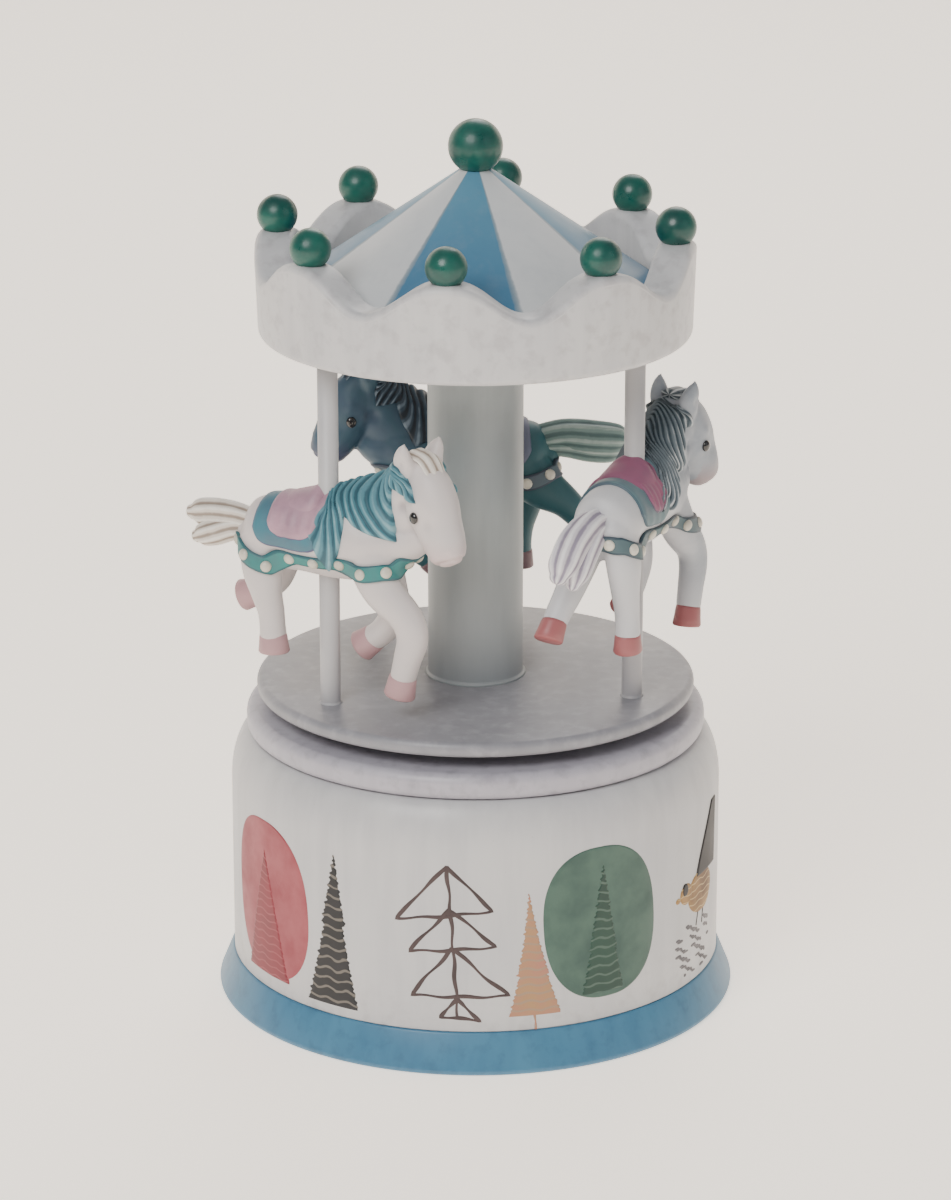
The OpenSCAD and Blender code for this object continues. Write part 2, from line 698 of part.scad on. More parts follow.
// Each horse's tail, right hind leg and left hind leg, as balls
tails = [
  [[-15.5, 0, 25.8, 2.8], [-24, 0, 25.4, 3.9], [-28.4, 0, 24.6, 3.5]],
  [[-15.5, 0, 26, 2.8], [-23, 0.8, 25.6, 3.4], [-29, 2.4, 20.4, 3.4]],
  [[-16, 0, 28.6, 2.8], [-24, 0, 28.6, 3.8], [-31.5, 0, 27.4, 3.6]]
];
right_hind_legs = [
  [[-12.4, -4.2, 21, 4.4], [-10.6, -4.2, 10, 2.8], [-10.3, -4.2, 4.8, 2.8]],
  [[-13.6, -4.2, 21, 4.4], [-12, -4.2, 9, 2.7], [-11.8, -4.2, 2.8, 2.8]],
  [[-13.6, -4.2, 21, 4.4], [-12, -4.2, 9, 2.7], [-11.8, -4.2, 2.8, 2.8]]
];
left_hind_legs = [
  [[-13, 4.2, 21, 4.4], [-13.5, 4.2, 14, 2.8], [-18.6, 4.2, 10.4, 2.6]],
  [[-13.4, 4.2, 21, 4.4], [-18.4, 5, 13.4, 2.8], [-23.8, 6.3, 6.6, 2.7]],
  [[-12, 4.2, 22, 4.6], [-20.5, 4.2, 16, 3.4], [-26, 4.2, 10.4, 2.8]]
];

// A ball of the common head, turned and shifted to horse i's own head
function head_ball(i, x, y, z, r) =
  let (a = head_turns[i - 1], s = head_shifts[i - 1])
  [14.5 + (x - 14.5) * cos(a) - y * sin(a) + s[0], (x - 14.5) * sin(a) + y * cos(a) + s[1], z + s[2], r];

// Prancing horse i, its pole at the origin, its body towards +X, its standing hoof at z = 0.
// It is drawn 47.6 high and scaled to horse_h.
module horse_shape(i) {
  limb([[-11.8, 0, 25.2, 7.1], [-2, 0, 25.8, 7.6], [8, 0, 26.5, 7.7]]);
  limb([[-4.6, 0, 28.8, 6.6], [-2.4, 0, 30.4, 6]]);
  limb([[8.5, 0, 29, 7.4], head_ball(i, 13, 0, 35, 6.2), head_ball(i, 17, 0, 39.4, 4.8)]);
  limb([head_ball(i, 17, 0, 39.2, 4.9), head_ball(i, 20.8, 0, 33.4, 5), head_ball(i, 23.8, 0, 28.4, 4.2)]);
  for (s = [-1, 1]) limb([head_ball(i, 15.6, s * 3, 42, 2.3), head_ball(i, 16.1, s * 4.1, 46.6, 1)]);
  limb(tails[i - 1]);
  limb(right_hind_legs[i - 1]);
  limb(left_hind_legs[i - 1]);
  limb([[9, -4.2, 21, 4.2], [19.6, -4.2, 10.6, 3.1], [17.3, -4.2, -0.4, 2.8]]);
  limb([[8, 4.2, 20, 4.2], [12.2, 4.2, 9.4, 2.8], [5.4, 4.2, 3.4, 2.6]]);
}

module horse(i) {
  k = horse_h / 47.6;
  color(i == 3 ? [0.16, 0.32, 0.34] : [0.86, 0.84, 0.82]) difference() {
    rotate(pole_angles[i - 1]) translate([pole_circle_r, 0, deck_z + horse_lifts[i - 1]])
      rotate(90 + horse_turns[i - 1]) scale(k) horse_shape(i);
    rotate(pole_angles[i - 1]) translate([pole_circle_r, 0, deck_z])
      cylinder(r = pole_r + 0.08, h = storey_h, $fn = 48);
  }
}

// ---- what is drawn ----

foot_disc();
drum_body();
drum_lid();
lid_bush();
bedplate();
bedplate_screws();
inner_bracket();
outer_bracket();
governor_bracket();
bracket_screws();
tuned_comb();
comb_screws();
click_spring();
winding_key();
spring_arbor();
ratchet_wheel();
spring_barrel();
mainspring();
great_wheel();
drive_shaft();
turntable_hub();
hub_screws();
pinned_cylinder();
cylinder_arbor();
cylinder_pinion();
cylinder_wheel();
governor_arbor();
worm_wheel();
worm_shaft();
air_fan();
platform();
column();
canopy_crown();
canopy_roof();
finial_dowel();
finial_ball();
for (i = [1:crests]) crown_ball(i);
for (i = [1:3]) pole(i);
for (i = [1:3]) horse(i);
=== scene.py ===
from math import radians

import bpy
import numpy as np
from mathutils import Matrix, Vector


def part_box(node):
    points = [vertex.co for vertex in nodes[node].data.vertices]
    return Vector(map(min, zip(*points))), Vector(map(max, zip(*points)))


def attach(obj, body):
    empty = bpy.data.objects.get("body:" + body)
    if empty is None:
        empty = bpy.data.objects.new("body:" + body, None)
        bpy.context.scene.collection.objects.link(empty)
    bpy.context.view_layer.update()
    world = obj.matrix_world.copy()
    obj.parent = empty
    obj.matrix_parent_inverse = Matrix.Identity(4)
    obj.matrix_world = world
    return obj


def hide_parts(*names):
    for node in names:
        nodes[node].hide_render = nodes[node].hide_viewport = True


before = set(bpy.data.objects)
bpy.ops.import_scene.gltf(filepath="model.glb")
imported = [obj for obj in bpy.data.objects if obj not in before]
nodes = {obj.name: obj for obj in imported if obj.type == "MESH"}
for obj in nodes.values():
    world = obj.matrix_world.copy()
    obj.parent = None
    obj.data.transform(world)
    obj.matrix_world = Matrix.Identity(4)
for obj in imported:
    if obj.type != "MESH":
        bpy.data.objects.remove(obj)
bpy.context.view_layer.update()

mm = 0.001
tau = 2 * np.pi


def span(node):  # lowest and highest corners of a node, in millimetres
    low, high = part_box(node)
    return np.array(low) / mm, np.array(high) / mm


# ---- shapes as whole arrays ----

def gridFaces(rows, columns, wrapRows=False, wrapColumns=True):
    # Each face joins a point to its neighbours one row and one column further on
    i = np.arange(rows if wrapRows else rows - 1)[:, None]
    j = np.arange(columns if wrapColumns else columns - 1)[None, :]
    i2, j2 = (i + 1) % rows, (j + 1) % columns
    return np.stack([i * columns + j, i * columns + j2, i2 * columns + j2, i2 * columns + j], -1).reshape(-1, 4)


def newObject(name, points, faces, finish):
    mesh = bpy.data.meshes.new(name)
    mesh.from_pydata((points * mm).tolist(), [], faces)
    mesh.validate()
    mesh.polygons.foreach_set("use_smooth", np.ones(len(mesh.polygons), bool))
    mesh.materials.append(finish)
    made = bpy.data.objects.new(name, mesh)
    bpy.context.scene.collection.objects.link(made)
    return made


def setMark(mesh, label, values):
    mesh.attributes.new(label, "FLOAT", "POINT").data.foreach_set("value",
            np.asarray(values, np.float32).ravel())


def buildPiece(name, parts, finish, body, marks=None):
    # parts is a list of (points in mm, faces); their points go into one mesh, one after another
    points, faces, start = [], [], 0
    for partPoints, partFaces in parts:
        points.append(np.asarray(partPoints, float).reshape(-1, 3))
        for block in (partFaces if isinstance(partFaces, list) else [partFaces]):
            faces += (np.asarray(block) + start).tolist()
        start += len(points[-1])
    piece = newObject(name, np.concatenate(points), faces, finish)
    for label, values in (marks or {}).items():
        setMark(piece.data, label, np.concatenate(values))
    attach(piece, body)
    return piece


def rounded(corners, steps=7):
    # Each corner (r, z, fillet) becomes an arc that touches both of its sides; the mark is 1 on an outer edge
    out, mark, count = [], [], len(corners)
    for k, (r, z, fillet) in enumerate(corners):
        here = np.array([r, z])
        if fillet <= 0:
            out.append(here[None]); mark.append([0.0])
            continue
        back = np.array(corners[k - 1][:2]) - here
        ahead = np.array(corners[(k + 1) % count][:2]) - here
        back, ahead = back / np.hypot(*back), ahead / np.hypot(*ahead)
        half = np.arccos(np.clip(back @ ahead, -1, 1)) / 2
        middle = here + (back + ahead) / np.hypot(*(back + ahead)) * fillet / np.sin(half)
        first, last = here + back * fillet / np.tan(half), here + ahead * fillet / np.tan(half)
        a0 = np.arctan2(*(first - middle)[::-1])
        turn = (np.arctan2(*(last - middle)[::-1]) - a0 + np.pi) % tau - np.pi
        a = a0 + turn * np.linspace(0, 1, steps)
        out.append(middle + fillet * np.stack([np.cos(a), np.sin(a)], -1))
        mark.append(np.full(steps, 1.0 if turn > 0 else -1.0))
    return np.concatenate(out), np.concatenate(mark)


def revolve(profile, segments=192, closed=True, lift=None):
    # Point(u, a) = (r(u) cos a, r(u) sin a, z(u)); lift(r, z, a) may raise the height; an end at r = 0 is one
    # point
    a = np.linspace(0, tau, segments, endpoint=False)
    r, z = profile[:, 0][:, None], profile[:, 1][:, None]
    height = z + (lift(r, z, a[None]) if lift else 0 * a[None])
    grid = np.stack([r * np.cos(a), r * np.sin(a), height + 0 * a], -1)
    if closed:
        return grid.reshape(-1, 3), [gridFaces(len(profile), segments, wrapRows=True)]
    inner = grid[1:-1].reshape(-1, 3)
    rows = len(profile) - 2
    low, high = len(inner), len(inner) + 1
    j = np.arange(segments)
    fans = [np.stack([np.full(segments, low), (j + 1) % segments, j], -1),
            np.stack([np.full(segments, high), (rows - 1) * segments + j,
                      (rows - 1) * segments + (j + 1) % segments], -1)]
    return np.concatenate([inner, grid[0, :1], grid[-1, :1]]), [gridFaces(rows, segments)] + fans


def spread(mark, segments, closed=True):  # a profile's mark, once for each point of its revolved surface
    return np.repeat(mark, segments) if closed else np.concatenate([np.repeat(mark[1:-1], segments), mark[:1],
            mark[-1:]])


# ---- finishes ----

def tint(r, g, b):  # screen colour 0..255 to the linear colour that shaders use
    c = np.array([r, g, b]) / 255
    return tuple(np.where(c <= 0.04045, c / 12.92, ((c + 0.055) / 1.055) ** 2.4)) + (1.0,)


def addNode(tree, kind, inputs=None, **settings):
    node = tree.nodes.new("ShaderNode" + kind)
    for key, value in settings.items():
        setattr(node, key, value)
    for key, value in (inputs or {}).items():
        if isinstance(value, bpy.types.NodeSocket):
            tree.links.new(value, node.inputs[key])
        else:
            node.inputs[key].default_value = value
    return node


def newFinish(name):
    finish = bpy.data.materials.new(name)
    finish.use_nodes = True
    tree = finish.node_tree
    return finish, tree, tree.nodes["Principled BSDF"], addNode(tree, "TexCoord").outputs["Object"]


def noise(tree, place, scale, detail=3.0, stretch=(1, 1, 1), roughness=0.55):
    if stretch != (1, 1, 1):
        place = addNode(tree, "Mapping", {"Vector": place, "Scale": stretch}).outputs["Vector"]
    return addNode(tree, "TexNoise", {"Vector": place, "Scale": scale, "Detail": detail,
                                      "Roughness": roughness}).outputs["Fac"]


def ramp(tree, value, stops):
    node = addNode(tree, "ValToRGB", {"Fac": value})
    band = node.color_ramp
    while len(band.elements) < len(stops):
        band.elements.new(0.5)
    for element, (place, colour) in zip(band.elements, stops):
        element.position = place
        element.color = colour if isinstance(colour, tuple) else (colour, colour, colour, 1)
    return node.outputs["Color"]


def blendColour(tree, amount, first, second, kind="MIX"):
    node = addNode(tree, "Mix", data_type="RGBA", blend_type=kind)
    for key, value in (("Factor", amount), ("A", first), ("B", second)):
        wanted = "VALUE" if key == "Factor" else "RGBA"
        socket = [s for s in node.inputs if s.name == key and s.type == wanted][0]
        if isinstance(value, bpy.types.NodeSocket):
            tree.links.new(value, socket)
        else:
            socket.default_value = value
    return [s for s in node.outputs if s.type == "RGBA"][0]


def maths(tree, kind, first, second=0.0, clamp=False):
    node = addNode(tree, "Math", operation=kind, use_clamp=clamp)
    for k, value in enumerate((first, second)):
        if isinstance(value, bpy.types.NodeSocket):
            tree.links.new(value, node.inputs[k])
        else:
            node.inputs[k].default_value = value
    return node.outputs[0]


def remap(tree, value, low, high, toLow, toHigh):
    return addNode(tree, "MapRange", {"Value": value, "From Min": low, "From Max": high, "To Min": toLow,
                                      "To Max": toHigh}).outputs["Result"]


def markOf(tree, label):
    return addNode(tree, "Attribute", attribute_name=label).outputs["Fac"]


def centred(tree, value, amount):  # amount * (value - 0.5)
    return maths(tree, "MULTIPLY", maths(tree, "SUBTRACT", value, 0.5), amount)


def coverWith(tree, shader, colour, varied, rough, coat=None, limits=(0.3, 0.7)):
    # Roughness runs over the pair "rough" as the varied value crosses its limits; coat is (weight, roughness)
    tree.links.new(colour, shader.inputs["Base Color"])
    tree.links.new(remap(tree, varied, *limits, *rough), shader.inputs["Roughness"])
    if coat:
        shader.inputs["Coat Weight"].default_value, shader.inputs["Coat Roughness"].default_value = coat


def bump(tree, shader, *layers):  # layers are (height socket, strength, depth in mm), one on another
    normal = None
    for height, strength, depth in layers:
        node = addNode(tree, "Bump", {"Height": height, "Strength": strength, "Distance": depth * mm})
        if normal:
            tree.links.new(normal, node.inputs["Normal"])
        normal = node.outputs["Normal"]
    tree.links.new(normal, shader.inputs["Normal"])


def paintedWood(name, colour, shade, worn, rough=(0.34, 0.5), coat=0.12, grain=0.35):
    # Satin paint on turned wood: cloudy tone, faint grain, tiny dust nibs, and a rubbed edge where the edge
    # mark is high
    finish, tree, shader, place = newFinish(name)
    cloud = noise(tree, place, 38, 4)
    fine = noise(tree, place, 900, 3)
    lines = noise(tree, place, 260, 3, (1, 1, 0.12))
    tone = blendColour(tree, ramp(tree, cloud, [(0.2, 0.35), (0.8, 1.0)]), shade, colour)
    tone = blendColour(tree, ramp(tree, lines, [(0.42, 0.0), (0.7, 0.16)]), tone, shade, "MULTIPLY")
    edge = markOf(tree, "edge")
    rub = maths(tree, "MULTIPLY", maths(tree, "MAXIMUM", edge, 0.0),
                ramp(tree, noise(tree, place, 320, 5), [(0.5, 0.0), (0.68, 1.0)]))
    tone = blendColour(tree, maths(tree, "MULTIPLY", rub, 0.35), tone, worn)
    # inner corners, where the edge mark is below zero, are darkened towards the worn colour
    cornerDarkening = maths(tree, "MULTIPLY", maths(tree, "MAXIMUM", maths(tree, "MULTIPLY", edge, -1.0), 0.0), 0.4)
    tone = blendColour(tree, cornerDarkening, tone, worn)
    specks = ramp(tree, addNode(tree, "TexVoronoi", {"Vector": place, "Scale": 420.0}).outputs["Distance"],
                  [(0.035, 1.0), (0.06, 0.0)])
    tone = blendColour(tree, maths(tree, "MULTIPLY", specks, 0.25), tone, worn)
    coverWith(tree, shader, tone, cloud, rough, (coat, 0.25))
    bump(tree, shader, (lines, grain, 0.05), (fine, 0.25, 0.03), (specks, 0.4, 0.03))
    return finish


def lacquer(name, colour, deep, rough=0.32, coat=0.18):
    # Gloss lacquer over a stained ball: deep cloudy colour and orange peel in the clear coat
    finish, tree, shader, place = newFinish(name)
    cloud = noise(tree, place, 110, 4)
    tone = blendColour(tree, ramp(tree, cloud, [(0.35, 0.0), (0.7, 1.0)]), deep, colour)
    coverWith(tree, shader, tone, noise(tree, place, 420, 3), (rough * 0.8, rough * 1.6), (coat, 0.16))
    bump(tree, shader, (noise(tree, place, 700, 2), 0.12, 0.04), (cloud, 0.1, 0.1))
    return finish


def wood(name, colour, dark):
    # Bare turned wood: long grain lines, growth bands and short pores
    finish, tree, shader, place = newFinish(name)
    bands = noise(tree, place, 180, 4, (1, 1, 0.08))
    pores = noise(tree, place, 1400, 3, (1, 1, 0.05))
    tone = blendColour(tree, ramp(tree, bands, [(0.35, 0.0), (0.65, 1.0)]), colour, dark)
    tone = blendColour(tree, ramp(tree, pores, [(0.6, 0.0), (0.7, 0.5)]), tone, dark)
    coverWith(tree, shader, tone, pores, (0.5, 0.7))
    bump(tree, shader, (bands, 0.3, 0.05), (pores, 0.4, 0.05))
    return finish


def metal(name, colour, dull, rough, brushing=(1, 1, 1), brushScale=900):
    # Machined metal: fine tool lines across it and cloudy tarnish
    finish, tree, shader, place = newFinish(name)
    lines = noise(tree, place, brushScale, 4, brushing)
    tarnish = noise(tree, place, 120, 5)
    tone = blendColour(tree, ramp(tree, tarnish, [(0.35, 0.0), (0.75, 1.0)]), colour, dull)
    shader.inputs["Metallic"].default_value = 1.0
    varied = maths(tree, "ADD", lines, maths(tree, "MULTIPLY", tarnish, 0.6))
    coverWith(tree, shader, tone, varied, (rough * 0.7, rough * 1.5), limits=(0.6, 1.1))
    bump(tree, shader, (lines, 0.3, 0.03))
    return finish


palette = {
    "white": (tint(208, 208, 208), tint(188, 188, 194), tint(152, 148, 152)),
    # column, lid and deck are the same white paint as the drum, greyed as painted shade
    "column": (tint(172, 180, 181), tint(148, 156, 160), tint(150, 152, 156)),
    "lid": (tint(188, 186, 195), tint(164, 160, 172), tint(126, 122, 132)),
    "deck": (tint(150, 151, 157), tint(126, 126, 134), tint(178, 176, 184)),
    "blue": (tint(72, 130, 162), tint(56, 110, 146), tint(50, 88, 116)),
    "green": (tint(12, 98, 84), tint(4, 68, 62)),
}
whitePaint = paintedWood("satinWhitePaint", *palette["white"])
# painted shade: the lid, deck and column finishes are white paint darkened to the greys of their shade
shadedLidPaint = paintedWood("shadedWhiteLidPaint", *palette["lid"])
shadedDeckPaint = paintedWood("shadedWhiteDeckPaint", *palette["deck"], grain=0.5)
bluePaint = paintedWood("mutedBluePaint", *palette["blue"])
shadedColumnPaint = paintedWood("shadedWhiteColumnPaint", *palette["column"])
greenLacquer = lacquer("tealGreenLacquer", *palette["green"])
bareWood = wood("bareBeech", tint(214, 180, 136), tint(176, 138, 96))
print("finishes ready")

# ---- turned case ----

case = {"keyWell": 18.0, "wall": 6.5, "lidBore": 4.2, "segments": 224, "drumSegments": 256}
footHigh = span("foot_disc")[1]
drumLow, drumHigh = span("drum_body")
lidLow, lidHigh = span("drum_lid")
drumR, footR, lidR = drumHigh[0], footHigh[0], lidHigh[0]
footTop = drumLow[2]
keyWellR, boreR, lidBoreR = case["keyWell"], drumR - case["wall"], case["lidBore"]


def turnedPiece(name, corners, finish, body, replaced, segments=case["segments"]):
    profile, mark = rounded(corners)
    piece = buildPiece(name, [revolve(profile, segments)], finish, body,
                       marks={"edge": [spread(mark, segments)]})
    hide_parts(*replaced)
    return piece


turnedPiece("turnedFoot", [(keyWellR, 0, 0.5), (footR, 0, 0.9), (drumR + 0.2, footTop, 0.5),
                           (boreR, footTop, 0),
                           (boreR, footHigh[2], 0.3), (keyWellR, footHigh[2], 0.4)],
            bluePaint, "base", ["foot_disc"])

shoulder = {"in": 4.4, "high": 10.3, "steps": 26}


def drumProfile():
    # Straight wall, then a quarter ellipse that leans in by "in" over "high", and a plain bore inside
    t = np.linspace(0, np.pi / 2, shoulder["steps"])
    curve = np.stack([drumR - shoulder["in"] * (1 - np.cos(t)),
                      drumHigh[2] - shoulder["high"] * (1 - np.sin(t))], -1)
    wall = np.array([[boreR, footTop], [drumR - 0.3, footTop], [drumR, footTop + 0.3], [drumR, footTop + 12],
                     [drumR, footTop + 24]])
    points = np.concatenate([wall, curve, [[boreR, drumHigh[2]]]])
    mark = np.zeros(len(points)); mark[1:3] = 0.8
    return points, mark


profile, mark = drumProfile()
drum = buildPiece("turnedDrum", [revolve(profile, case["drumSegments"])], whitePaint, "base",
                  marks={"edge": [spread(mark, case["drumSegments"])]})
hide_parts("drum_body")
turnedPiece("turnedLid", [(lidBoreR, lidLow[2], 0.2), (boreR - 0.05, lidLow[2], 0.4),
                          (boreR - 0.05, drumHigh[2], 0), (lidR, drumHigh[2], 2.0),
                          (lidR, lidHigh[2], 2.0), (lidBoreR, lidHigh[2], 0.2)],
            shadedLidPaint, "base", ["drum_lid"])
print("case turned")

# ---- pictures printed on the drum ----

printed = {"thick": 0.14, "edge": 0.4, "turns": (0.0, 180.0), "line": 0.5}
perDegree = radians(drumR)  # millimetres along the wall for each degree


def wallRadius(z):  # the drum's outline: straight, then the shoulder's quarter ellipse
    t = np.clip((z - (drumHigh[2] - shoulder["high"])) / shoulder["high"], 0, 1)
    return drumR - shoulder["in"] * (1 - np.sqrt(1 - t ** 2))


def onWall(angle, z, off):  # degrees right of the front, height, and height above the paint
    a, r = np.radians(angle), wallRadius(z) + off
    return np.stack([r * np.sin(a), -r * np.cos(a), z], -1)


def patch(levels, left, right, layer=1, turn=0.0, columns=25):
    # A thin skin between a left and a right edge at each height; near its edges it sinks into the wall
    z, left, right = (np.asarray(v, float)[:, None] for v in (levels, left, right))
    u = np.linspace(-1, 1, columns)[None]
    angle = (left + right) / 2 + u * (right - left) / 2
    across = u * (right - left) / 2 * perDegree
    near = np.minimum((1 - np.abs(u)) * (right - left) / 2 * perDegree, np.minimum(z - z.min(), z.max() - z))
    off = printed["thick"] * layer * np.clip(near / printed["edge"], 0, 1) ** 0.5 - 0.1 * (near <= 0)
    points = onWall(angle + turn, z + 0 * u, off)
    return points.reshape(-1, 3), gridFaces(len(z), columns,
                                            wrapColumns=False), across.ravel(), (z + 0 * u).ravel()


def pebble(left, right, low, high, **more):  # a rounded oval: half width W(1 - |t|^p)^(1/p)
    power, lean = 2.4, 1.2
    t = np.sin(np.linspace(-np.pi / 2, np.pi / 2, 60))
    half = (1 - np.abs(t) ** power) ** (1 / power) * (right - left) / 2
    middle = (left + right) / 2 - lean * t
    return patch((low + high) / 2 + t * (high - low) / 2, middle - half, middle + half, **more)


def fir(top, left, right, low, tiers=0, notch=0.0, ragged=0.0, spire=1.0, **more):
    # A narrow triangle from its foot to its top, narrowed at each tier, its edges ragged by a few sines
    t = np.linspace(0, 1, 150)
    half = (right - left) / 2 * (1 - t) ** spire * (1 - notch * ((t * tiers) % 1)) + 0.12
    rough = ragged * (np.sin(97 * t) + np.sin(151 * t + 1) + np.sin(223 * t + 2)) / 3
    middle = (left + right) / 2 + (top[0] - (left + right) / 2) * t
    return patch(low + t * (top[1] - low), middle - half - rough, middle + half - 0.7 * rough[::-1], **more)


def stroke(corners, turn=0.0, half=None):  # a hand-drawn line through corners, as a narrow skin
    corners = np.asarray(corners, float)
    half = half or printed["line"]
    path = np.concatenate([np.linspace(a, b, 30, endpoint=False) for a,
                           b in zip(corners[:-1], corners[1:])] + [corners[-1:]])
    flat = path * np.array([perDegree, 1])
    flat = flat + 0.16 * np.stack([np.sin(flat[:, 1] * 0.9), np.sin(flat[:, 0] * 0.8)], -1)
    along = np.gradient(flat, axis=0)
    along /= np.linalg.norm(along, axis=1)[:, None] + 1e-9
    u = np.linspace(-1, 1, 5)
    width = half * (0.85 + 0.25 * np.sin(np.arange(len(flat)) * 0.31))[:, None]
    side = np.stack([-along[:, 1], along[:, 0]], -1)
    spot = flat[:, None] + side[:, None] * (u[None] * width)[..., None]
    points = onWall(spot[..., 0] / perDegree + turn, spot[..., 1],
                    printed["thick"] * (1 - u[None] ** 4) - 0.05 + 0 * width)
    return points.reshape(-1, 3), gridFaces(len(flat), 5, wrapColumns=False)[:, ::-1], np.repeat(u[None],
            len(flat), 0).ravel(), spot[..., 1].ravel()


def dot(angle, z, wide, high, turn=0.0, **more):  # an oval: half width wide * sqrt(1 - t^2)
    t = np.sin(np.linspace(-np.pi / 2, np.pi / 2, 16))
    half = np.sqrt(1 - t ** 2) * wide / perDegree
    return patch(z + t * high, angle - half, angle + half, columns=11, turn=turn, **more)


def printPaint(name, colour, mottle, line=None, pitch=2.0, share=0.3):
    # Printed ink: a blotchy flat colour, with wavy cross lines at an even pitch where the motif has them
    finish, tree, shader, place = newFinish(name)
    cloud = noise(tree, place, 150, 4)
    tone = blendColour(tree, ramp(tree, cloud, [(0.38, 0.0), (0.66, 1.0)]), colour, mottle)
    if line:
        level = markOf(tree, "level")
        across = markOf(tree, "across")
        bend = maths(tree, "MULTIPLY", maths(tree, "SINE", maths(tree, "MULTIPLY", across, 1.4)), 0.12)
        rows = maths(tree, "ADD", maths(tree, "DIVIDE", level, pitch), bend)
        phase = maths(tree, "ADD", rows, maths(tree, "MULTIPLY", noise(tree, place, 260, 2), 0.5))
        stripe = maths(tree, "ABSOLUTE", maths(tree, "SUBTRACT", maths(tree, "FRACT", phase), 0.5))
        tone = blendColour(tree, ramp(tree, stripe, [(share * 0.35, 1.0), (share * 0.65, 0.0)]), tone, line)
    coverWith(tree, shader, tone, cloud, (0.42, 0.56))
    bump(tree, shader, (noise(tree, place, 900, 3), 0.25, 0.03))
    return finish


def printPiece(name, inkName, draw, *ink):
    # The drum carries each motif twice: draw(turn) gives its shapes, turned by that many degrees round the wall
    shapes = [shape for turn in printed["turns"] for shape in draw(turn)]
    buildPiece(name, [shape[:2] for shape in shapes], printPaint(inkName, *ink), "base",
               marks={"across": [shape[2] for shape in shapes], "level": [shape[3] for shape in shapes]})


def lineTree(turn):  # a trunk and four open triangles
    rows = [[(-10.5, 42.6), (-9.4, 30), (-8.0, 10.8)],
            [(-10.5, 42.4), (-22.3, 30.9), (0.0, 33.2), (-10.4, 42.2)],
            [(-9.8, 33.6), (-19.1, 24.4), (0.8, 25.8), (-9.8, 33.4)],
            [(-9.2, 25.6), (-18.8, 15.3), (3.5, 15.5), (-9.2, 25.4)],
            [(-8.2, 15.0), (-11.9, 11.2), (-2.9, 10.5), (-8.2, 14.8)]]
    return [stroke(row, turn) for row in rows]


def salmonTree(turn):
    return [fir((8.1, 36.5), 3.5, 16, 11, tiers=3, notch=0.12, ragged=0.4, spire=1.25, turn=turn),
            stroke([(9.6, 8.1), (9.6, 11.4)], turn, 0.3)]


def birdWing(turn):  # wing, head cap and two legs
    t = np.linspace(0, 1, 40)
    return [patch(29.5 + 14 * t, 58.5 + 10 * t ** 1.3, 71.5 + 0.6 * t, layer=1.6, turn=turn),
            dot(53.4, 28.6, 1.25, 1.35, turn, layer=1.6),
            stroke([(60, 22.4), (59.4, 19.4)], turn, 0.25), stroke([(63, 22.4), (62.8, 19.2)], turn, 0.25)]


def birdBody(turn):
    return [dot(61.8, 26.4, 6.6, 4.5, turn), dot(54.0, 27.6, 2.6, 2.2, turn),
            dot(50.4, 27.0, 0.9, 0.6, turn, layer=1.2)]


def speckles(turn):  # places and sizes follow from each speckle's number
    return [dot(50 + 17 * ((k * 0.618) % 1), 10 + 10.5 * ((k * 0.755) % 1),
                0.5 + 0.35 * (k % 3), 0.24 + 0.1 * (k % 2), turn) for k in np.arange(1, 60)]


printPiece("printedPinkPebbles", "pinkPebbleInk", lambda t: [pebble(-76.6, -45.2, 11, 43.3, turn=t)],
           tint(166, 80, 88), tint(148, 62, 72))
printPiece("printedRedTrees", "redTreeInk",
           lambda t: [fir((-61.6, 37.4), -70, -52, 11, ragged=0.3, layer=1.8, turn=t)],
           tint(124, 38, 50), tint(140, 52, 62), tint(152, 68, 76), 1.6, 0.2)
printPiece("printedBlackTrees", "blackTreeInk",
           lambda t: [fir((-38, 41.7), -45.9, -31.5, 10, tiers=1.85, notch=0.22, ragged=0.55, turn=t)],
           tint(24, 26, 30), tint(40, 40, 44), tint(112, 106, 98), 2.15, 0.22)
printPiece("printedLineTrees", "lineTreeInk", lineTree, tint(58, 44, 46), tint(80, 64, 64))
printPiece("printedSalmonTrees", "salmonTreeInk", salmonTree, tint(176, 120, 100), tint(172, 134, 94),
           tint(160, 134, 110), 1.7, 0.26)
printPiece("printedGreenPebbles", "greenPebbleInk", lambda t: [pebble(11, 41.7, 12.7, 44.1, turn=t)],
           tint(70, 100, 88), tint(56, 84, 76))
printPiece("printedGreenTrees", "greenTreeInk",
           lambda t: [fir((26.1, 40.9), 20.7, 32.1, 13.7, tiers=3, notch=0.1, ragged=0.45, layer=1.8, turn=t)],
           tint(24, 58, 48), tint(36, 70, 58), tint(74, 98, 86), 1.9, 0.22)
printPiece("printedBirdWings", "birdBlackInk", birdWing, tint(20, 18, 22), tint(36, 34, 38))
printPiece("printedBirdBodies", "birdOchreInk", birdBody, tint(166, 126, 66), tint(112, 80, 50),
           tint(196, 170, 120), 1.5, 0.14)
printPiece("printedSpeckles", "speckleInk", speckles, tint(128, 124, 126), tint(92, 90, 94))
print("drum printed")

# ---- turning top ----

platLow, platHigh = span("platform")
colR = span("column")[1][0]
crownLow, crownHigh = span("canopy_crown")
roofLow, roofHigh = span("canopy_roof")
deckZ, platR = platHigh[2], platHigh[0]
top = {"deckBore": 4.6, "core": 0.4, "pole": 2.0, "poleCore": 0.3, "roofBore": 1.1, "crownBore": 6.2,
       "poleSegments": 48}
turnedPiece("turnedPlatform", [(top["deckBore"], platLow[2], 0.2), (platR, platLow[2], 1.2),
                               (platR, deckZ, 1.3), (top["deckBore"], deckZ, 0.2)],
            shadedDeckPaint, "turntable", ["platform"])
turnedPiece("turnedColumn", [(top["core"], deckZ, 0), (colR + 0.7, deckZ, 0), (colR, deckZ + 0.5, 0.6),
                             (colR, crownLow[2], 0.2), (top["core"], crownLow[2], 0)],
            shadedColumnPaint, "turntable", ["column"], segments=128)

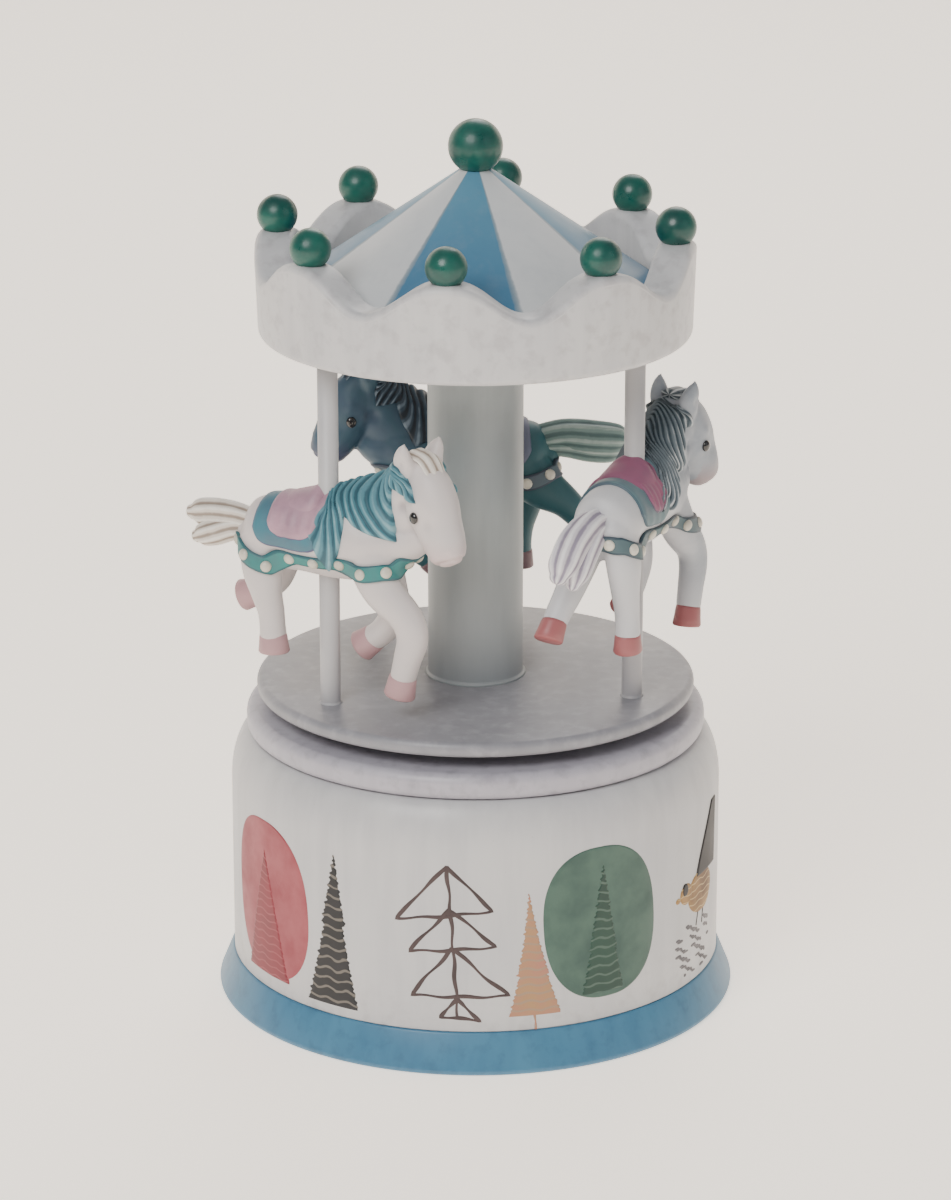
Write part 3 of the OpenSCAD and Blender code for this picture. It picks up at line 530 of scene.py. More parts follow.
poleCentres = [(span(f"pole_{k}")[0][:2] + span(f"pole_{k}")[1][:2]) / 2 for k in (1, 2, 3)]
poleR, poleCore = top["pole"], top["poleCore"]
poleProfile, poleMark = rounded([(poleCore, deckZ - 0.5, 0), (poleR + 0.35, deckZ - 0.05, 0),
                                 (poleR, deckZ + 0.35, 0.3),
                                 (poleR, crownLow[2] + 0.3, 0), (poleCore, crownLow[2] + 0.3, 0)])
for k, centre in enumerate(poleCentres):
    points, faces = revolve(poleProfile, top["poleSegments"])
    pole = buildPiece(f"horsePole{k + 1}", [(points + np.append(centre, 0), faces)], whitePaint, "turntable",
                      marks={"edge": [spread(poleMark, top["poleSegments"])]})
    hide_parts(f"pole_{k + 1}")

crown = {"crests": 8, "turn": -102.0, "dip": 6.5, "sharp": 1.35, "wall": 7.4, "floor": 5.0, "edge": 1.7,
         "segments": 320}


def waveDrop(a):
    # Depth below the crests: a raised cosine with eight waves, its power setting how broad the crests are
    return crown["dip"] * ((1 - np.cos(crown["crests"] * (a - radians(crown["turn"])))) / 2) ** crown["sharp"]


def crownSurface():
    # A ring whose section runs from the column out, up the outer wall, over a round rim and down the bore;
    # the rim part of the section drops by the wave at its angle
    low, high = crownLow[2], crownHigh[2]
    topR, lowR, rim = crownHigh[0], crownHigh[0] - 0.6, crown["edge"]
    boreR2 = topR - crown["wall"] - 0.3
    ring, ringMark = rounded([(top["crownBore"], low, 0), (lowR, low, 1.5), (topR, high, rim),
                              (boreR2, high, rim), (boreR2, low + crown["floor"], 0.4), (top["crownBore"],
                                      low + crown["floor"], 0)], 9)
    extra = np.linspace(0.15, 0.85, 5)[:, None]
    rimRows = np.where(ring[:, 1] > high - rim - 1e-6)[0]
    first, last = rimRows[0], rimRows[-1] + 1
    outer = ring[first - 1] + (ring[first] - ring[first - 1]) * extra
    inner = ring[last - 1] + (ring[last] - ring[last - 1]) * extra
    path = np.concatenate([ring[:first], outer, ring[first:last], inner, ring[last:]])
    marks = np.concatenate([ringMark[:first], np.zeros(5), ringMark[first:last], np.zeros(5), ringMark[last:]])
    share = np.clip((path[:, 1] - low - crown["floor"]) / (high - rim - low - crown["floor"]), 0, 1)[:, None]
    points, faces = revolve(path, crown["segments"], lift=lambda r, z, a: -waveDrop(a) * share)
    return points, faces, spread(marks, crown["segments"])


points, faces, mark = crownSurface()
crownRing = buildPiece("wavedCrown", [(points, faces)], whitePaint, "turntable",
                       marks={"edge": [mark]})
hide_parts("canopy_crown")

roof = {"wedges": 8, "blue": (tint(88, 142, 170), tint(48, 100, 138)),
        "white": (tint(220, 222, 222), tint(196, 200, 204)), "line": tint(104, 126, 138)}


def stripedPaint():
    # Wedges by angle about the axis: the angle from the front wedge, in wedge widths, is even for blue and odd
    # for white
    finish, tree, shader, place = newFinish("stripedRoofPaint")
    axes = addNode(tree, "SeparateXYZ", {"Vector": place})
    angle = maths(tree, "ARCTAN2", axes.outputs["Y"], axes.outputs["X"])
    ragged = centred(tree, noise(tree, place, 600, 3), 0.03)
    fromFront = maths(tree, "SUBTRACT", angle, radians(crown["turn"]))
    turns = maths(tree, "ADD", maths(tree, "MULTIPLY", fromFront, roof["wedges"] / tau), ragged)
    wave = maths(tree, "PINGPONG", maths(tree, "ADD", turns, 16.0), 1.0)
    isWhite = remap(tree, wave, 0.47, 0.53, 0.0, 1.0)
    cloud = noise(tree, place, 60, 4)
    streak = noise(tree, place, 300, 4, (1, 1, 0.25))
    level = addNode(tree, "CombineXYZ", {"X": axes.outputs["X"], "Y": axes.outputs["Y"]}).outputs[0]
    radius = addNode(tree, "VectorMath", {0: level}, operation="LENGTH").outputs["Value"]
    deep = maths(tree, "ADD", remap(tree, radius, 0.006, 0.036, 0.0, 0.75), centred(tree, cloud, 0.8), True)
    blue = blendColour(tree, deep, *roof["blue"])
    white = blendColour(tree, cloud, *roof["white"])
    tone = blendColour(tree, isWhite, blue, white)
    seam = ramp(tree, maths(tree, "ABSOLUTE", maths(tree, "SUBTRACT", wave, 0.5)),
                [(0.012, 0.55), (0.035, 0.0)])
    tone = blendColour(tree, seam, tone, roof["line"])
    tone = blendColour(tree, ramp(tree, streak, [(0.5, 0.0), (0.75, 0.12)]), tone, tint(150, 160, 170))
    coverWith(tree, shader, tone, cloud, (0.34, 0.5), (0.15, 0.25))
    bump(tree, shader, (isWhite, 0.5, 0.12), (streak, 0.25, 0.05), (noise(tree, place, 900, 3), 0.2, 0.03))
    return finish


roofPaint = stripedPaint()
skirtZ = roofLow[2] + 5.3
turnedPiece("stripedRoof", [(top["roofBore"], roofLow[2], 0.1), (roofHigh[0], roofLow[2], 0.3),
                            (roofHigh[0], skirtZ, 0.8), (3.0, roofHigh[2], 0.5), (top["roofBore"], roofHigh[2],
                                    0.1)],
            roofPaint, "turntable", ["canopy_roof"], segments=256)


def ballSurface(centre, radius, flat=0.0, rings=30, segments=48):
    # A sphere by polar angle from the bottom up, its underside cut flat at share "flat" of the radius below
    # the centre
    t = np.linspace(0, np.pi, rings)
    z = -np.cos(t) * radius
    if flat:
        z = np.maximum(z, -flat * radius)
    profile = np.stack([np.where((t > 0) & (t < np.pi), np.sin(t) * radius, 0), z], -1)
    points, faces = revolve(profile, segments, closed=False)
    return points + centre, faces


finialLow, finialHigh = span("finial_ball")
finialR = (finialHigh[0] - finialLow[0]) / 2
finial = buildPiece("finialBall",
                    [ballSurface(np.array([0, 0, finialHigh[2] - finialR]), finialR, 0.83, 44,
                                 72)], greenLacquer, "turntable")
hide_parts("finial_ball")
ballNames = sorted(n for n in nodes if n.startswith("crown_ball_"))
ballParts = []
for ballName in ballNames:
    low, high = span(ballName)
    radius = (high[0] - low[0]) / 2
    ballParts.append(ballSurface(np.array([(low[0] + high[0]) / 2, (low[1] + high[1]) / 2, high[2] - radius]),
                                 radius))
crestBalls = buildPiece("crestBalls", ballParts, greenLacquer, "turntable")
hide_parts(*ballNames)
print("canopy built")

# ---- horses ----

horse = {"voxel": 0.42, "smooth": 6, "headings": (331, 60, 180), "lifts": (8.3, 13.2, 9.7),
         "headTurns": (-25, -15, 0), "headShifts": ((4.2, 0, -0.2), (0, -1.4, 0), (3.6, 0, 0)), "pivot": 14.5}
rightSide, leftSide = -1, 1


def smoothRows(rows, count):
    # Catmull-Rom curve through the rows; a row holds a place and the two half widths of the section there
    p = np.asarray(rows, float)
    p = np.concatenate([2 * p[:1] - p[1:2], p, 2 * p[-1:] - p[-2:-1]])
    t = np.linspace(0, len(rows) - 1, count)
    k = np.minimum(t.astype(int), len(rows) - 2)
    u = (t - k)[:, None]
    a, b, c, d = p[k], p[k + 1], p[k + 2], p[k + 3]
    return 0.5 * (2 * b + (c - a) * u + (2 * a - 5 * b + 4 * c - d) * u ** 2 + (3 * b - a - 3 * c + d) * u ** 3)


def framesAlong(path):
    # Tangent, sideways direction kept level across the horse, and the third direction, in the horse's own plane
    along = np.gradient(path, axis=0)
    along /= np.linalg.norm(along, axis=1)[:, None]
    across = np.array([0, 1.0, 0]) - along[:, 1:2] * along
    across /= np.linalg.norm(across, axis=1)[:, None]
    return along, across, np.cross(across, along)


def limb(rows, count=28, sides=28, cap=0.8, ridges=0, ridgeDepth=0.0, twist=0.0):
    # Ellipses carried along a smooth path, with round ends; ridges add lengthwise flutes of a share of the
    # radius
    s = smoothRows(rows, count)
    along, across, up = framesAlong(s[:, :3])
    t = np.linspace(0, np.pi / 2, 7)[1:]

    def roundEnd(q, sign):
        return s[q, :3] + sign * along[q] * (cap * s[q, 3] * np.sin(t))[:, None], np.cos(t)[:, None] * s[q, 3:5]

    headPlace, headSize = roundEnd(-1, 1)
    tailPlace, tailSize = roundEnd(0, -1)
    place = np.concatenate([tailPlace[::-1], s[:, :3], headPlace])
    size = np.maximum(np.concatenate([tailSize[::-1], s[:, 3:5], headSize]), 0.001)
    k = np.clip(np.arange(len(place)) - 6, 0, count - 1)
    a = np.linspace(0, tau, sides, endpoint=False)[None]
    flute = 1 + ridgeDepth * np.cos(ridges * a + twist * k[:, None] / count) if ridges else 1 + 0 * a
    points = (place[:, None] + up[k][:, None] * (size[:, :1] * np.cos(a) * flute)[..., None]
              + across[k][:, None] * (size[:, 1:] * np.sin(a) * flute)[..., None])
    rings, columns = points.shape[:2]
    lids = [np.arange(columns)[None, ::-1], np.arange(columns)[None] + (rings - 1) * columns]
    return points.reshape(-1, 3), [gridFaces(rings, columns)] + lids


anatomy = {
    "torso": [(-17.0, 0, 24.6, 3.2, 3.2), (-15.0, 0, 24.9, 6.4, 5.9), (-11.6, 0, 25.3, 7.3, 6.8),
              (-5, 0, 25.7, 7.5, 6.9),
              (2, 0, 25.5, 7.8, 6.9), (8, 0, 26.3, 8.1, 6.8), (12.8, 0, 27.4, 6.6, 5.8),
              (15.2, 0, 28.0, 3.8, 3.6)],
    "neck": [(5.5, 0, 28.0, 7.8, 6.0), (9.5, 0, 31.5, 7.2, 5.4), (13.2, 0, 35.8, 6.2, 4.7),
             (16.0, 0, 39.8, 5.2, 4.2)],
    "head": [(16.4, 0, 41.0, 4.3, 3.9), (18.2, 0, 38.4, 5.4, 4.5), (19.9, 0, 35.0, 5.6, 4.7),
             (21.8, 0, 31.4, 5.0, 4.2),
             (23.2, 0, 28.8, 4.5, 3.9), (23.8, 0, 27.8, 4.1, 3.7)],
    "lips": [(24.4, 0, 30.0, 3.0, 3.3), (25.0, 0, 27.4, 2.9, 3.2)],
    "ear": [(15.4, 2.8, 41.4, 2.2, 2.1), (15.4, 3.7, 44.0, 2.4, 1.7), (15.9, 4.2, 46.2, 1.5, 1.1),
            (16.3, 4.4, 47.6, 0.4, 0.4)],
    "hindStraight": [(-12.6, 3.0, 24.0, 5.8, 3.4), (-13.7, 4.1, 18.5, 4.4, 3.3), (-13.2, 4.2, 13.2, 3.2, 2.8),
                     (-12.3, 4.2, 9, 2.6, 2.5),
                     (-11.9, 4.2, 5.6, 2.5, 2.4), (-11.8, 4.2, 3.6, 2.6, 2.5)],
    "hindShort": [(-12.2, 3.0, 24.0, 5.6, 3.4), (-12.4, 4.1, 18.7, 4.4, 3.3), (-11.6, 4.2, 14.0, 3.2, 2.9),
                  (-10.7, 4.2, 10.4, 2.7, 2.6),
                  (-10.4, 4.2, 7.4, 2.6, 2.5), (-10.3, 4.2, 5.6, 2.7, 2.6)],
    "hindBack": [(-12.4, 3.0, 24.0, 5.6, 3.4), (-12.8, 4.0, 18.4, 4.3, 3.2), (-13.6, 4.2, 14.3, 3.0, 2.8),
                 (-16.0, 4.2, 12.0, 2.6, 2.5),
                 (-17.8, 4.2, 10.9, 2.5, 2.4)],
    "hindReach": [(-12.6, 3.0, 24.0, 5.8, 3.4), (-15.0, 4.2, 18.4, 4.3, 3.2), (-18.6, 5.0, 13.2, 3.1, 2.8),
                  (-21.6, 5.8, 9.6, 2.7, 2.5),
                  (-22.9, 6.1, 8.0, 2.6, 2.4)],
    "hindStretch": [(-11.0, 3.0, 24.0, 5.8, 3.6), (-15.6, 4.0, 19.6, 4.8, 3.4), (-20.4, 4.2, 16.2, 3.4, 3.0),
                    (-24.0, 4.2, 12.4, 2.8, 2.6),
                    (-25.4, 4.2, 11.0, 2.7, 2.5)],
    "foreLift": [(9.5, 3.0, 24.5, 5.2, 3.4), (13.2, 4.1, 18.0, 4.1, 3.3), (18.4, 4.2, 13.0, 3.4, 3.0),
                 (19.9, 4.2, 9.0, 3.2, 2.8),
                 (18.8, 4.2, 4.4, 2.8, 2.6), (17.9, 4.2, 0.9, 2.6, 2.5)],
    "foreFold": [(8.5, 3.0, 24.0, 5.0, 3.4), (10.4, 4.1, 17.2, 3.9, 3.1), (12.0, 4.2, 10.8, 3.1, 2.8),
                 (9.8, 4.2, 6.8, 2.7, 2.6),
                 (7.4, 4.2, 4.8, 2.6, 2.5)],
    "rump": [(-13.6, 0, 27.0, 4.2, 4.6), (-10.4, 0, 28.2, 4.4, 5.4)],
    "chest": [(11.5, 0, 24.0, 5.2, 5.2), (12.8, 0, 27.5, 5.4, 5.0)],
    "cheek": [(18.0, 0, 35.6, 4.2, 4.8), (19.4, 0, 33.4, 3.8, 4.6)],
}
hoof = {"hindStraight": ((-11.8, 4.2, 3.9), (-11.6, 4.2, 0)), "hindShort": ((-10.3, 4.2, 5.9), (-10.1, 4.2, 2)),
        "hindBack": ((-17.6, 4.2, 11.0), (-21.4, 4.2, 9.6)),
        "hindReach": ((-22.8, 6.1, 8.2), (-25.0, 6.6, 4.6)),
        "hindStretch": ((-25.2, 4.2, 11.2), (-28.2, 4.2, 8.2)),
        "foreLift": ((17.9, 4.2, 1.0), (17.0, 4.2, -3.2)), "foreFold": ((7.8, 4.2, 5.0), (4.6, 4.2, 2.6))}


def onSide(rows, side):
    return [(row[0], side * row[1]) + tuple(row[2:]) for row in rows]


def seated(points, k):
    # From the common horse's frame, pole at its origin and standing hoof at zero, to its place on the platform.
    # On the way the head is turned and shifted, by a share that rises smoothly from none at the chest to all
    # at the ears
    x, y, z = np.asarray(points).reshape(-1, 3).T
    share = np.clip((x + 0.9 * (z - 27) - 9) / 10, 0, 1)
    share = share ** 2 * (3 - 2 * share)
    turn = share * radians(horse["headTurns"][k])
    dx, dy, dz = horse["headShifts"][k]
    reach = x - horse["pivot"]
    x, y = (horse["pivot"] + reach * np.cos(turn) - y * np.sin(turn) + dx * share,
            reach * np.sin(turn) + y * np.cos(turn) + dy * share)
    a = radians(horse["headings"][k])
    return np.stack([x * np.cos(a) - y * np.sin(a) + poleCentres[k][0],
                     x * np.sin(a) + y * np.cos(a) + poleCentres[k][1],
                     z + dz * share + deckZ + horse["lifts"][k]], -1)


def applyAll(piece):  # what its modifiers make of it becomes its mesh
    bpy.context.view_layer.update()
    graph = bpy.context.evaluated_depsgraph_get()
    mesh = bpy.data.meshes.new_from_object(piece.evaluated_get(graph))
    piece.modifiers.clear()
    old, label = piece.data, piece.data.name
    piece.data = mesh
    bpy.data.meshes.remove(old)
    mesh.name = label


def readPoints(mesh):
    co = np.zeros(len(mesh.vertices) * 3, np.float32)
    mesh.vertices.foreach_get("co", co)
    return co.reshape(-1, 3).astype(float)


def readNormals(mesh):
    n = np.zeros(len(mesh.vertices) * 3, np.float32)
    mesh.vertex_normals.foreach_get("vector", n)
    return n.reshape(-1, 3).astype(float)


def writePoints(mesh, co):
    mesh.vertices.foreach_set("co", co.astype(np.float32).ravel())
    mesh.update()


def hollows(mesh):
    # How far each point lies below the mean of its neighbourhood, along its normal: above zero in a crease
    co, n = readPoints(mesh), readNormals(mesh)
    pairs = np.zeros(len(mesh.edges) * 2, int)
    mesh.edges.foreach_get("vertices", pairs)
    i, j = pairs.reshape(-1, 2).T
    ends, starts = np.concatenate([i, j]), np.concatenate([j, i])
    count = np.bincount(ends, minlength=len(co))[:, None]
    field = co.copy()
    for reach in range(10):
        field = np.stack([np.bincount(ends, field[starts, q], len(co)) for q in range(3)], -1) / count
    return ((field - co) * n).sum(1) / mm


# Place, reach and depth of each hollow pressed into the body, on both sides; below zero it swells
dents = [
    ((26.4, 1.9, 27.4), 0.7, 0.6),   # nostrils
    ((15.9, 4.6, 43.8), 1.0, 0.8),   # ears
    ((19.6, 4.6, 37.2), 1.3, -0.5),  # brows
    ((22.4, 4.2, 33.0), 2.0, 0.4),   # under the eyes
    ((15.2, 4.6, 35.0), 1.3, 0.8),   # behind the jaw
    ((-8.5, 6.6, 21.6), 3.4, 0.7),   # flank
    ((5.0, 6.6, 20.6), 2.6, 0.5),    # behind the foreleg
]


def horseBody(k, finish, legs):
    parts = [limb(anatomy[n]) for n in ("torso", "neck", "head", "lips", "rump", "chest", "cheek")]
    parts += [limb(onSide(anatomy["ear"], s)) for s in (leftSide, rightSide)]
    parts += [limb(onSide(anatomy[shape], side)) for shape, side in legs]
    piece = buildPiece(f"horseBody{k + 1}", parts, finish, "turntable")
    skin = piece.modifiers.new("skin", "REMESH")
    skin.mode, skin.voxel_size, skin.use_smooth_shade = "VOXEL", horse["voxel"] * mm, True
    ease = piece.modifiers.new("ease", "SMOOTH")
    ease.factor, ease.iterations = 0.6, horse["smooth"]
    applyAll(piece)
    mesh = piece.data
    co, n = readPoints(mesh) / mm, readNormals(mesh)
    for (x, y, z), reach, depth in dents:  # each point moves in by depth times a bell of its distance
        for side in (leftSide, rightSide):
            away = np.linalg.norm(co - np.array([x, side * y, z]), axis=1)
            co -= n * (depth * np.exp(-(away / reach) ** 2))[:, None]
    mouth = np.exp(-((co[:, 2] - (25.7 + 0.42 * (co[:, 0] - 25))) / 0.35) ** 2) * (co[:, 0] > 22.6) * (co[:,
            2] < 29)
    co -= n * (0.35 * mouth)[:, None]
    writePoints(mesh, co * mm)
    # the hollow mark drives painted shade in the creases; the mouth line is added so it is painted darker too
    setMark(mesh, "hollow", hollows(mesh) + 0.2 * mouth)
    # fore: where the painted shade over the forehand goes
    setMark(mesh, "fore", np.clip((co[:, 0] + 0.5 * (co[:, 2] - 26) - 3) / 8, 0, 1))
    setMark(mesh, "muzzle", np.clip((30.5 - co[:, 2]) / 4, 0, 1) * (co[:, 0] > 20) * (co[:, 2] > 22.5))
    writePoints(mesh, seated(co, k) * mm)
    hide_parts(f"horse_{k + 1}")
    return piece


def resin(name, colour, shade, nose, creaseShade=1.6, front=None):
    # Hand-painted cast resin: painted shade darkening the creases from the hollow mark, uneven brushed tone, a
    # tinted nose, and for some horses a painted shade in another colour over the forehand
    finish, tree, shader, place = newFinish(name)
    cloud = noise(tree, place, 130, 4)
    hollow = markOf(tree, "hollow")
    muzzle = markOf(tree, "muzzle")
    # painted shade: the hollow mark, scaled and mixed with random cloud tone, blends the body towards its shade
    # colour
    crease = maths(tree, "ADD", maths(tree, "MULTIPLY", hollow, creaseShade), centred(tree, cloud, 0.6), True)
    tone = blendColour(tree, crease, colour, shade)
    if front:
        # painted shade: the front colour is laid over the forehand by the fore mark
        forehandShade = maths(tree, "MULTIPLY", markOf(tree, "fore"), remap(tree, cloud, 0.35, 0.65, 0.55, 0.95))
        tone = blendColour(tree, forehandShade, tone, front)
    tone = blendColour(tree, maths(tree, "MULTIPLY", muzzle, 0.7), tone, nose)
    coverWith(tree, shader, tone, cloud, (0.38, 0.55), (0.1, 0.3))
    bump(tree, shader, (noise(tree, place, 170, 3), 0.25, 0.15), (noise(tree, place, 700, 4), 0.3, 0.05))
    return finish


def hairPaint(name, groove, colour, ridgeHighlight):
    # Hair: painted shade in the grooves, a painted highlight on the ridges with the hair's own pale streaks,
    # from the strand mark
    finish, tree, shader, place = newFinish(name)
    strand = markOf(tree, "strand")
    uneven = maths(tree, "ADD", strand, centred(tree, noise(tree, place, 420, 4), 0.5))
    # the first, darkest colour is painted shade in the grooves and the last, lightest colour a painted
    # highlight on the ridges
    tree.links.new(ramp(tree, uneven, [(0.1, groove), (0.4, colour), (0.7, colour), (0.95, ridgeHighlight)]),
                   shader.inputs["Base Color"])
    shader.inputs["Roughness"].default_value = 0.5
    bump(tree, shader, (noise(tree, place, 800, 4), 0.3, 0.05))
    return finish


def trimPaint(name, inner, border, width=0.3):
    # Painted cloth or leather in relief: a border colour near the edge mark, a brushed middle, fine grain over
    # both
    finish, tree, shader, place = newFinish(name)
    rim = markOf(tree, "rim")
    cloud = noise(tree, place, 220, 4)
    edge = maths(tree, "ADD", rim, centred(tree, cloud, 0.12))
    tone = blendColour(tree, ramp(tree, edge, [(width, 0.0), (width + 0.06, 1.0)]), border, inner)
    tone = blendColour(tree, ramp(tree, cloud, [(0.35, 0.35), (0.7, 0.0)]), tone, tint(90, 80, 100))
    coverWith(tree, shader, tone, cloud, (0.4, 0.6))
    bump(tree, shader, (noise(tree, place, 900, 4), 0.35, 0.05), (cloud, 0.2, 0.1))
    return finish


def drape(name, k, body, points, shape, off, finish, mark, values):
    # A sheet drawn onto the body's nearest surface, each point then lifted along the surface's normal by its
    # own amount
    rows, columns = shape
    piece = buildPiece(name, [(seated(points, k), gridFaces(rows, columns, wrapColumns=False)[:, ::-1])],
                       finish, "turntable",
                       marks={mark: [values.ravel()]})
    cling = piece.modifiers.new("cling", "SHRINKWRAP")
    cling.target, cling.wrap_method, cling.wrap_mode = body, "NEAREST_SURFACEPOINT", "ON_SURFACE"
    applyAll(piece)
    mesh = piece.data
    co, n = readPoints(mesh).reshape(rows, columns, 3), readNormals(mesh).reshape(rows, columns, 3)
    for _ in range(4):
        n[1:-1, 1:-1] = (n[2:, 1:-1] + n[:-2, 1:-1] + n[1:-1, 2:] + n[1:-1, :-2]) / 4
        co[1:-1, 1:-1] = (co[2:, 1:-1] + co[:-2, 1:-1] + co[1:-1, 2:] + co[1:-1, :-2]) / 4
    writePoints(mesh, co.reshape(-1, 3) + n.reshape(-1, 3) * off.ravel()[:, None] * mm)
    return piece


maneLine = [(-3, 0, 27, 10, 9), (3.5, 0, 28, 9.6, 8.6), (9, 0, 31.2, 9, 7.6), (13.2, 0, 35.8, 7.6, 6.2),
            (16.4, 0, 40, 6.4, 5.6), (17.6, 0, 42.4, 5.8, 5)]


def maneSheet(style):
    # Strands start on the crest at s, 0 at the withers to 1 at the poll, and hang down by v, slipping back as
    # they go;
    # each lock is longest on its own middle line, so the lower edge is a row of points
    s = np.linspace(0, 1, 200)[:, None]
    v = np.linspace(-1, 1, 121)[None]
    lock = np.abs((s * style["locks"] + style["start"]) % 1 - 0.5) * 2
    down = np.abs(v) * (1 - style["cut"] * lock ** style["point"])
    along = smoothRows(maneLine, 1001)
    where = np.clip(style["low"] + (style["high"] - style["low"]) * s - style["slip"] * down * (1.2 - 0.6 * s),
                    0, 5) * 200
    middle = np.stack([np.interp(where, np.arange(1001), along[:, q]) for q in range(5)], -1)
    across, up = framesAlong(along[:, :3])[1:]
    q = where.astype(int)
    turn = np.sign(v) * down * (style["reachLow"] + (style["reachHigh"] - style["reachLow"]) * s)
    points = middle[..., :3] - up[q] * (middle[..., 3] * np.cos(turn))[...,
            None] + across[q] * (middle[..., 4] * np.sin(turn))[..., None]
    strand = 0.5 + 0.5 * np.cos(tau * (s * style["strands"] + 0.35 * np.sin(9 * s + 5 * v)))
    rim = np.clip(np.minimum(1 - np.abs(v), np.minimum(s, 1 - s) * 1.5) * 9, 0, 1)
    rolled = np.sqrt(rim * (2 - rim))
    height = style["thick"] + style["groove"] * (strand - 0.5) + 0.5 * (1 - lock) ** 1.2 * np.abs(v)
    height = height + style["crest"] * np.exp(-(v / 0.16) ** 2)
    off = height * rolled - 0.3 * (rim < 0.02)
    return points.reshape(-1, 3), off, np.clip(strand * (0.5 + 0.5 * np.abs(v)), 0, 1)


def tailLock(rows, count=60, sides=44, flutes=7, depth=0.13, twist=2.5):
    # One lock: an ellipse carried along its path, fluted lengthwise, closed to a point at the tip
    points, faces = limb(rows, count, sides, 0.9, flutes, depth, twist)
    a = np.linspace(0, tau, sides, endpoint=False)[None]
    k = np.clip(np.arange(count + 12) - 6, 0, count - 1)[:, None]
    return points, faces, 0.5 + 0.5 * np.cos(flutes * a + twist * k / count)


def clothSheet(along0, along1, down, off, edge):
    # A cloth over the barrel: x from back to front, angle v over the back and down each side;
    # its lower corners are rounded and its edge rolls down into the body
    x = np.linspace(along0, along1, 70)[:, None]
    v = np.linspace(-1, 1, 91)[None]
    share = (x - along0) / (along1 - along0) * 2 - 1
    turn = v * down * (1 - 0.3 * np.abs(share) ** 4)
    points = np.stack([x + 0 * v, 9.5 * np.sin(turn), 26 + 10.5 * np.cos(turn)], -1)
    rim = np.clip(np.minimum(1 - np.abs(v), (1 - np.abs(share)) * 0.7) * edge, 0, 1)
    lift = off * np.sqrt(rim * (2 - rim)) * (1 + 0.12 * np.cos(tau * 2.5 * share) * v ** 2) - 0.3 * (rim < 0.02)
    return points.reshape(-1, 3), lift, rim * 0.9


saddle = {"rear": -10.2, "front": 1.2, "middle": -4.5, "reach": 5.7, "half": 6.0, "floor": 29.0,
          "rise": (32.2, 33.9, 34.7, 35.4, 36.3, 35.0)}


def saddleSeat():
    # A padded seat: along x its top rises from the cantle to the pommel; across it is a flattened arch
    x = np.linspace(saddle["rear"], saddle["front"], 44)[:, None]
    ridge = smoothRows([(z,) for z in saddle["rise"]], 44)
    share = np.clip((x - saddle["middle"]) / saddle["reach"], -1, 1)
    v = np.linspace(-1, 1, 45)[None]
    half = saddle["half"] * np.clip(1 - np.abs(share) ** 3.2, 0.0, 1) ** 0.45 + 0.3
    arch = np.clip(1 - np.abs(v) ** 2.2, 0, 1) ** 0.6
    close = np.clip(1 - np.abs(share) ** 8, 0, 1) ** 0.4
    points = np.stack([x + 0 * v, half * v, saddle["floor"] + (ridge - saddle["floor"]) * arch * close], -1)
    return points, gridFaces(44, 45, wrapColumns=False)[:, ::-1], np.clip(arch * close, 0, 1)


strap = {"height": 20.6, "rear": 2.6, "front": 1.6, "half": 1.7, "off": 0.5, "thick": 0.7, "pitch": 5.4,
         "stud": 1.15}


def strapLine(t, v=0.0, front=strap["front"]):
    # A closed line round the body at the strap's height, lifted at the rump and the chest
    x = -1.2 + 18.4 * np.cos(t) + 0 * v
    y = 9.4 * np.sign(np.sin(t)) * np.abs(np.sin(t)) ** 0.45 + 0 * v
    z = strap["height"] + strap["rear"] * np.clip((-x - 8) / 10, 0, 1) ** 2 + front * np.clip((x - 2) / 13, 0,
            1) ** 1.5 + strap["half"] * v
    return np.stack([x, y, z], -1)


def harness(k, body, finish, studFinish, front=strap["front"]):
    # The band is drawn onto the body's surface and given thickness; domes sit on its middle line at an even
    # pitch
    t = np.linspace(0, tau, 240, endpoint=False)[:, None]
    v = np.linspace(-1, 1, 7)[None]
    band = buildPiece(f"harnessStrap{k + 1}",
                      [(seated(strapLine(t, v, front), k),
                        gridFaces(240, 7, wrapRows=True, wrapColumns=False)[:, ::-1])],
                      finish, "turntable", marks={"rim": [np.repeat(1 - np.abs(v), 240, 0).ravel()]})
    cling = band.modifiers.new("cling", "SHRINKWRAP")
    cling.target, cling.offset = body, strap["off"] * mm
    cling.wrap_method, cling.wrap_mode = "NEAREST_SURFACEPOINT", "ABOVE_SURFACE"
    applyAll(band)
    co = readPoints(band.data).reshape(240, 7, 3)
    for _ in range(3):
        co = (np.roll(co, 1, 0) + np.roll(co, -1, 0) + 2 * co) / 4
    writePoints(band.data, co)
    line = co[:, 3] / mm
    facing = readNormals(band.data).reshape(240, 7, 3)[:, 3]
    wall = band.modifiers.new("wall", "SOLIDIFY")
    wall.thickness, wall.offset = strap["thick"] * mm, -1
    applyAll(band)
    steps = np.linalg.norm(np.roll(line, -1, 0) - line, axis=1)
    run = np.concatenate([[0], np.cumsum(steps)[:-1]])
    places = np.arange(strap["pitch"] / 2, steps.sum(), strap["pitch"])
    picks = np.searchsorted(run, places).clip(0, 239)
    dome, domeFaces = ballSurface(np.zeros(3), strap["stud"], 0, 8, 14)
    parts = []
    for q in picks:
        out = facing[q] * np.sign(facing[q] @ (line[q] - line.mean(0)))
        side = np.cross(out, (0, 0, 1)); side /= np.linalg.norm(side)
        turn = np.stack([side, np.cross(out, side), out * 0.6])
        parts.append((line[q] + dome @ turn, domeFaces))
    buildPiece(f"harnessStuds{k + 1}", parts, studFinish, "turntable")


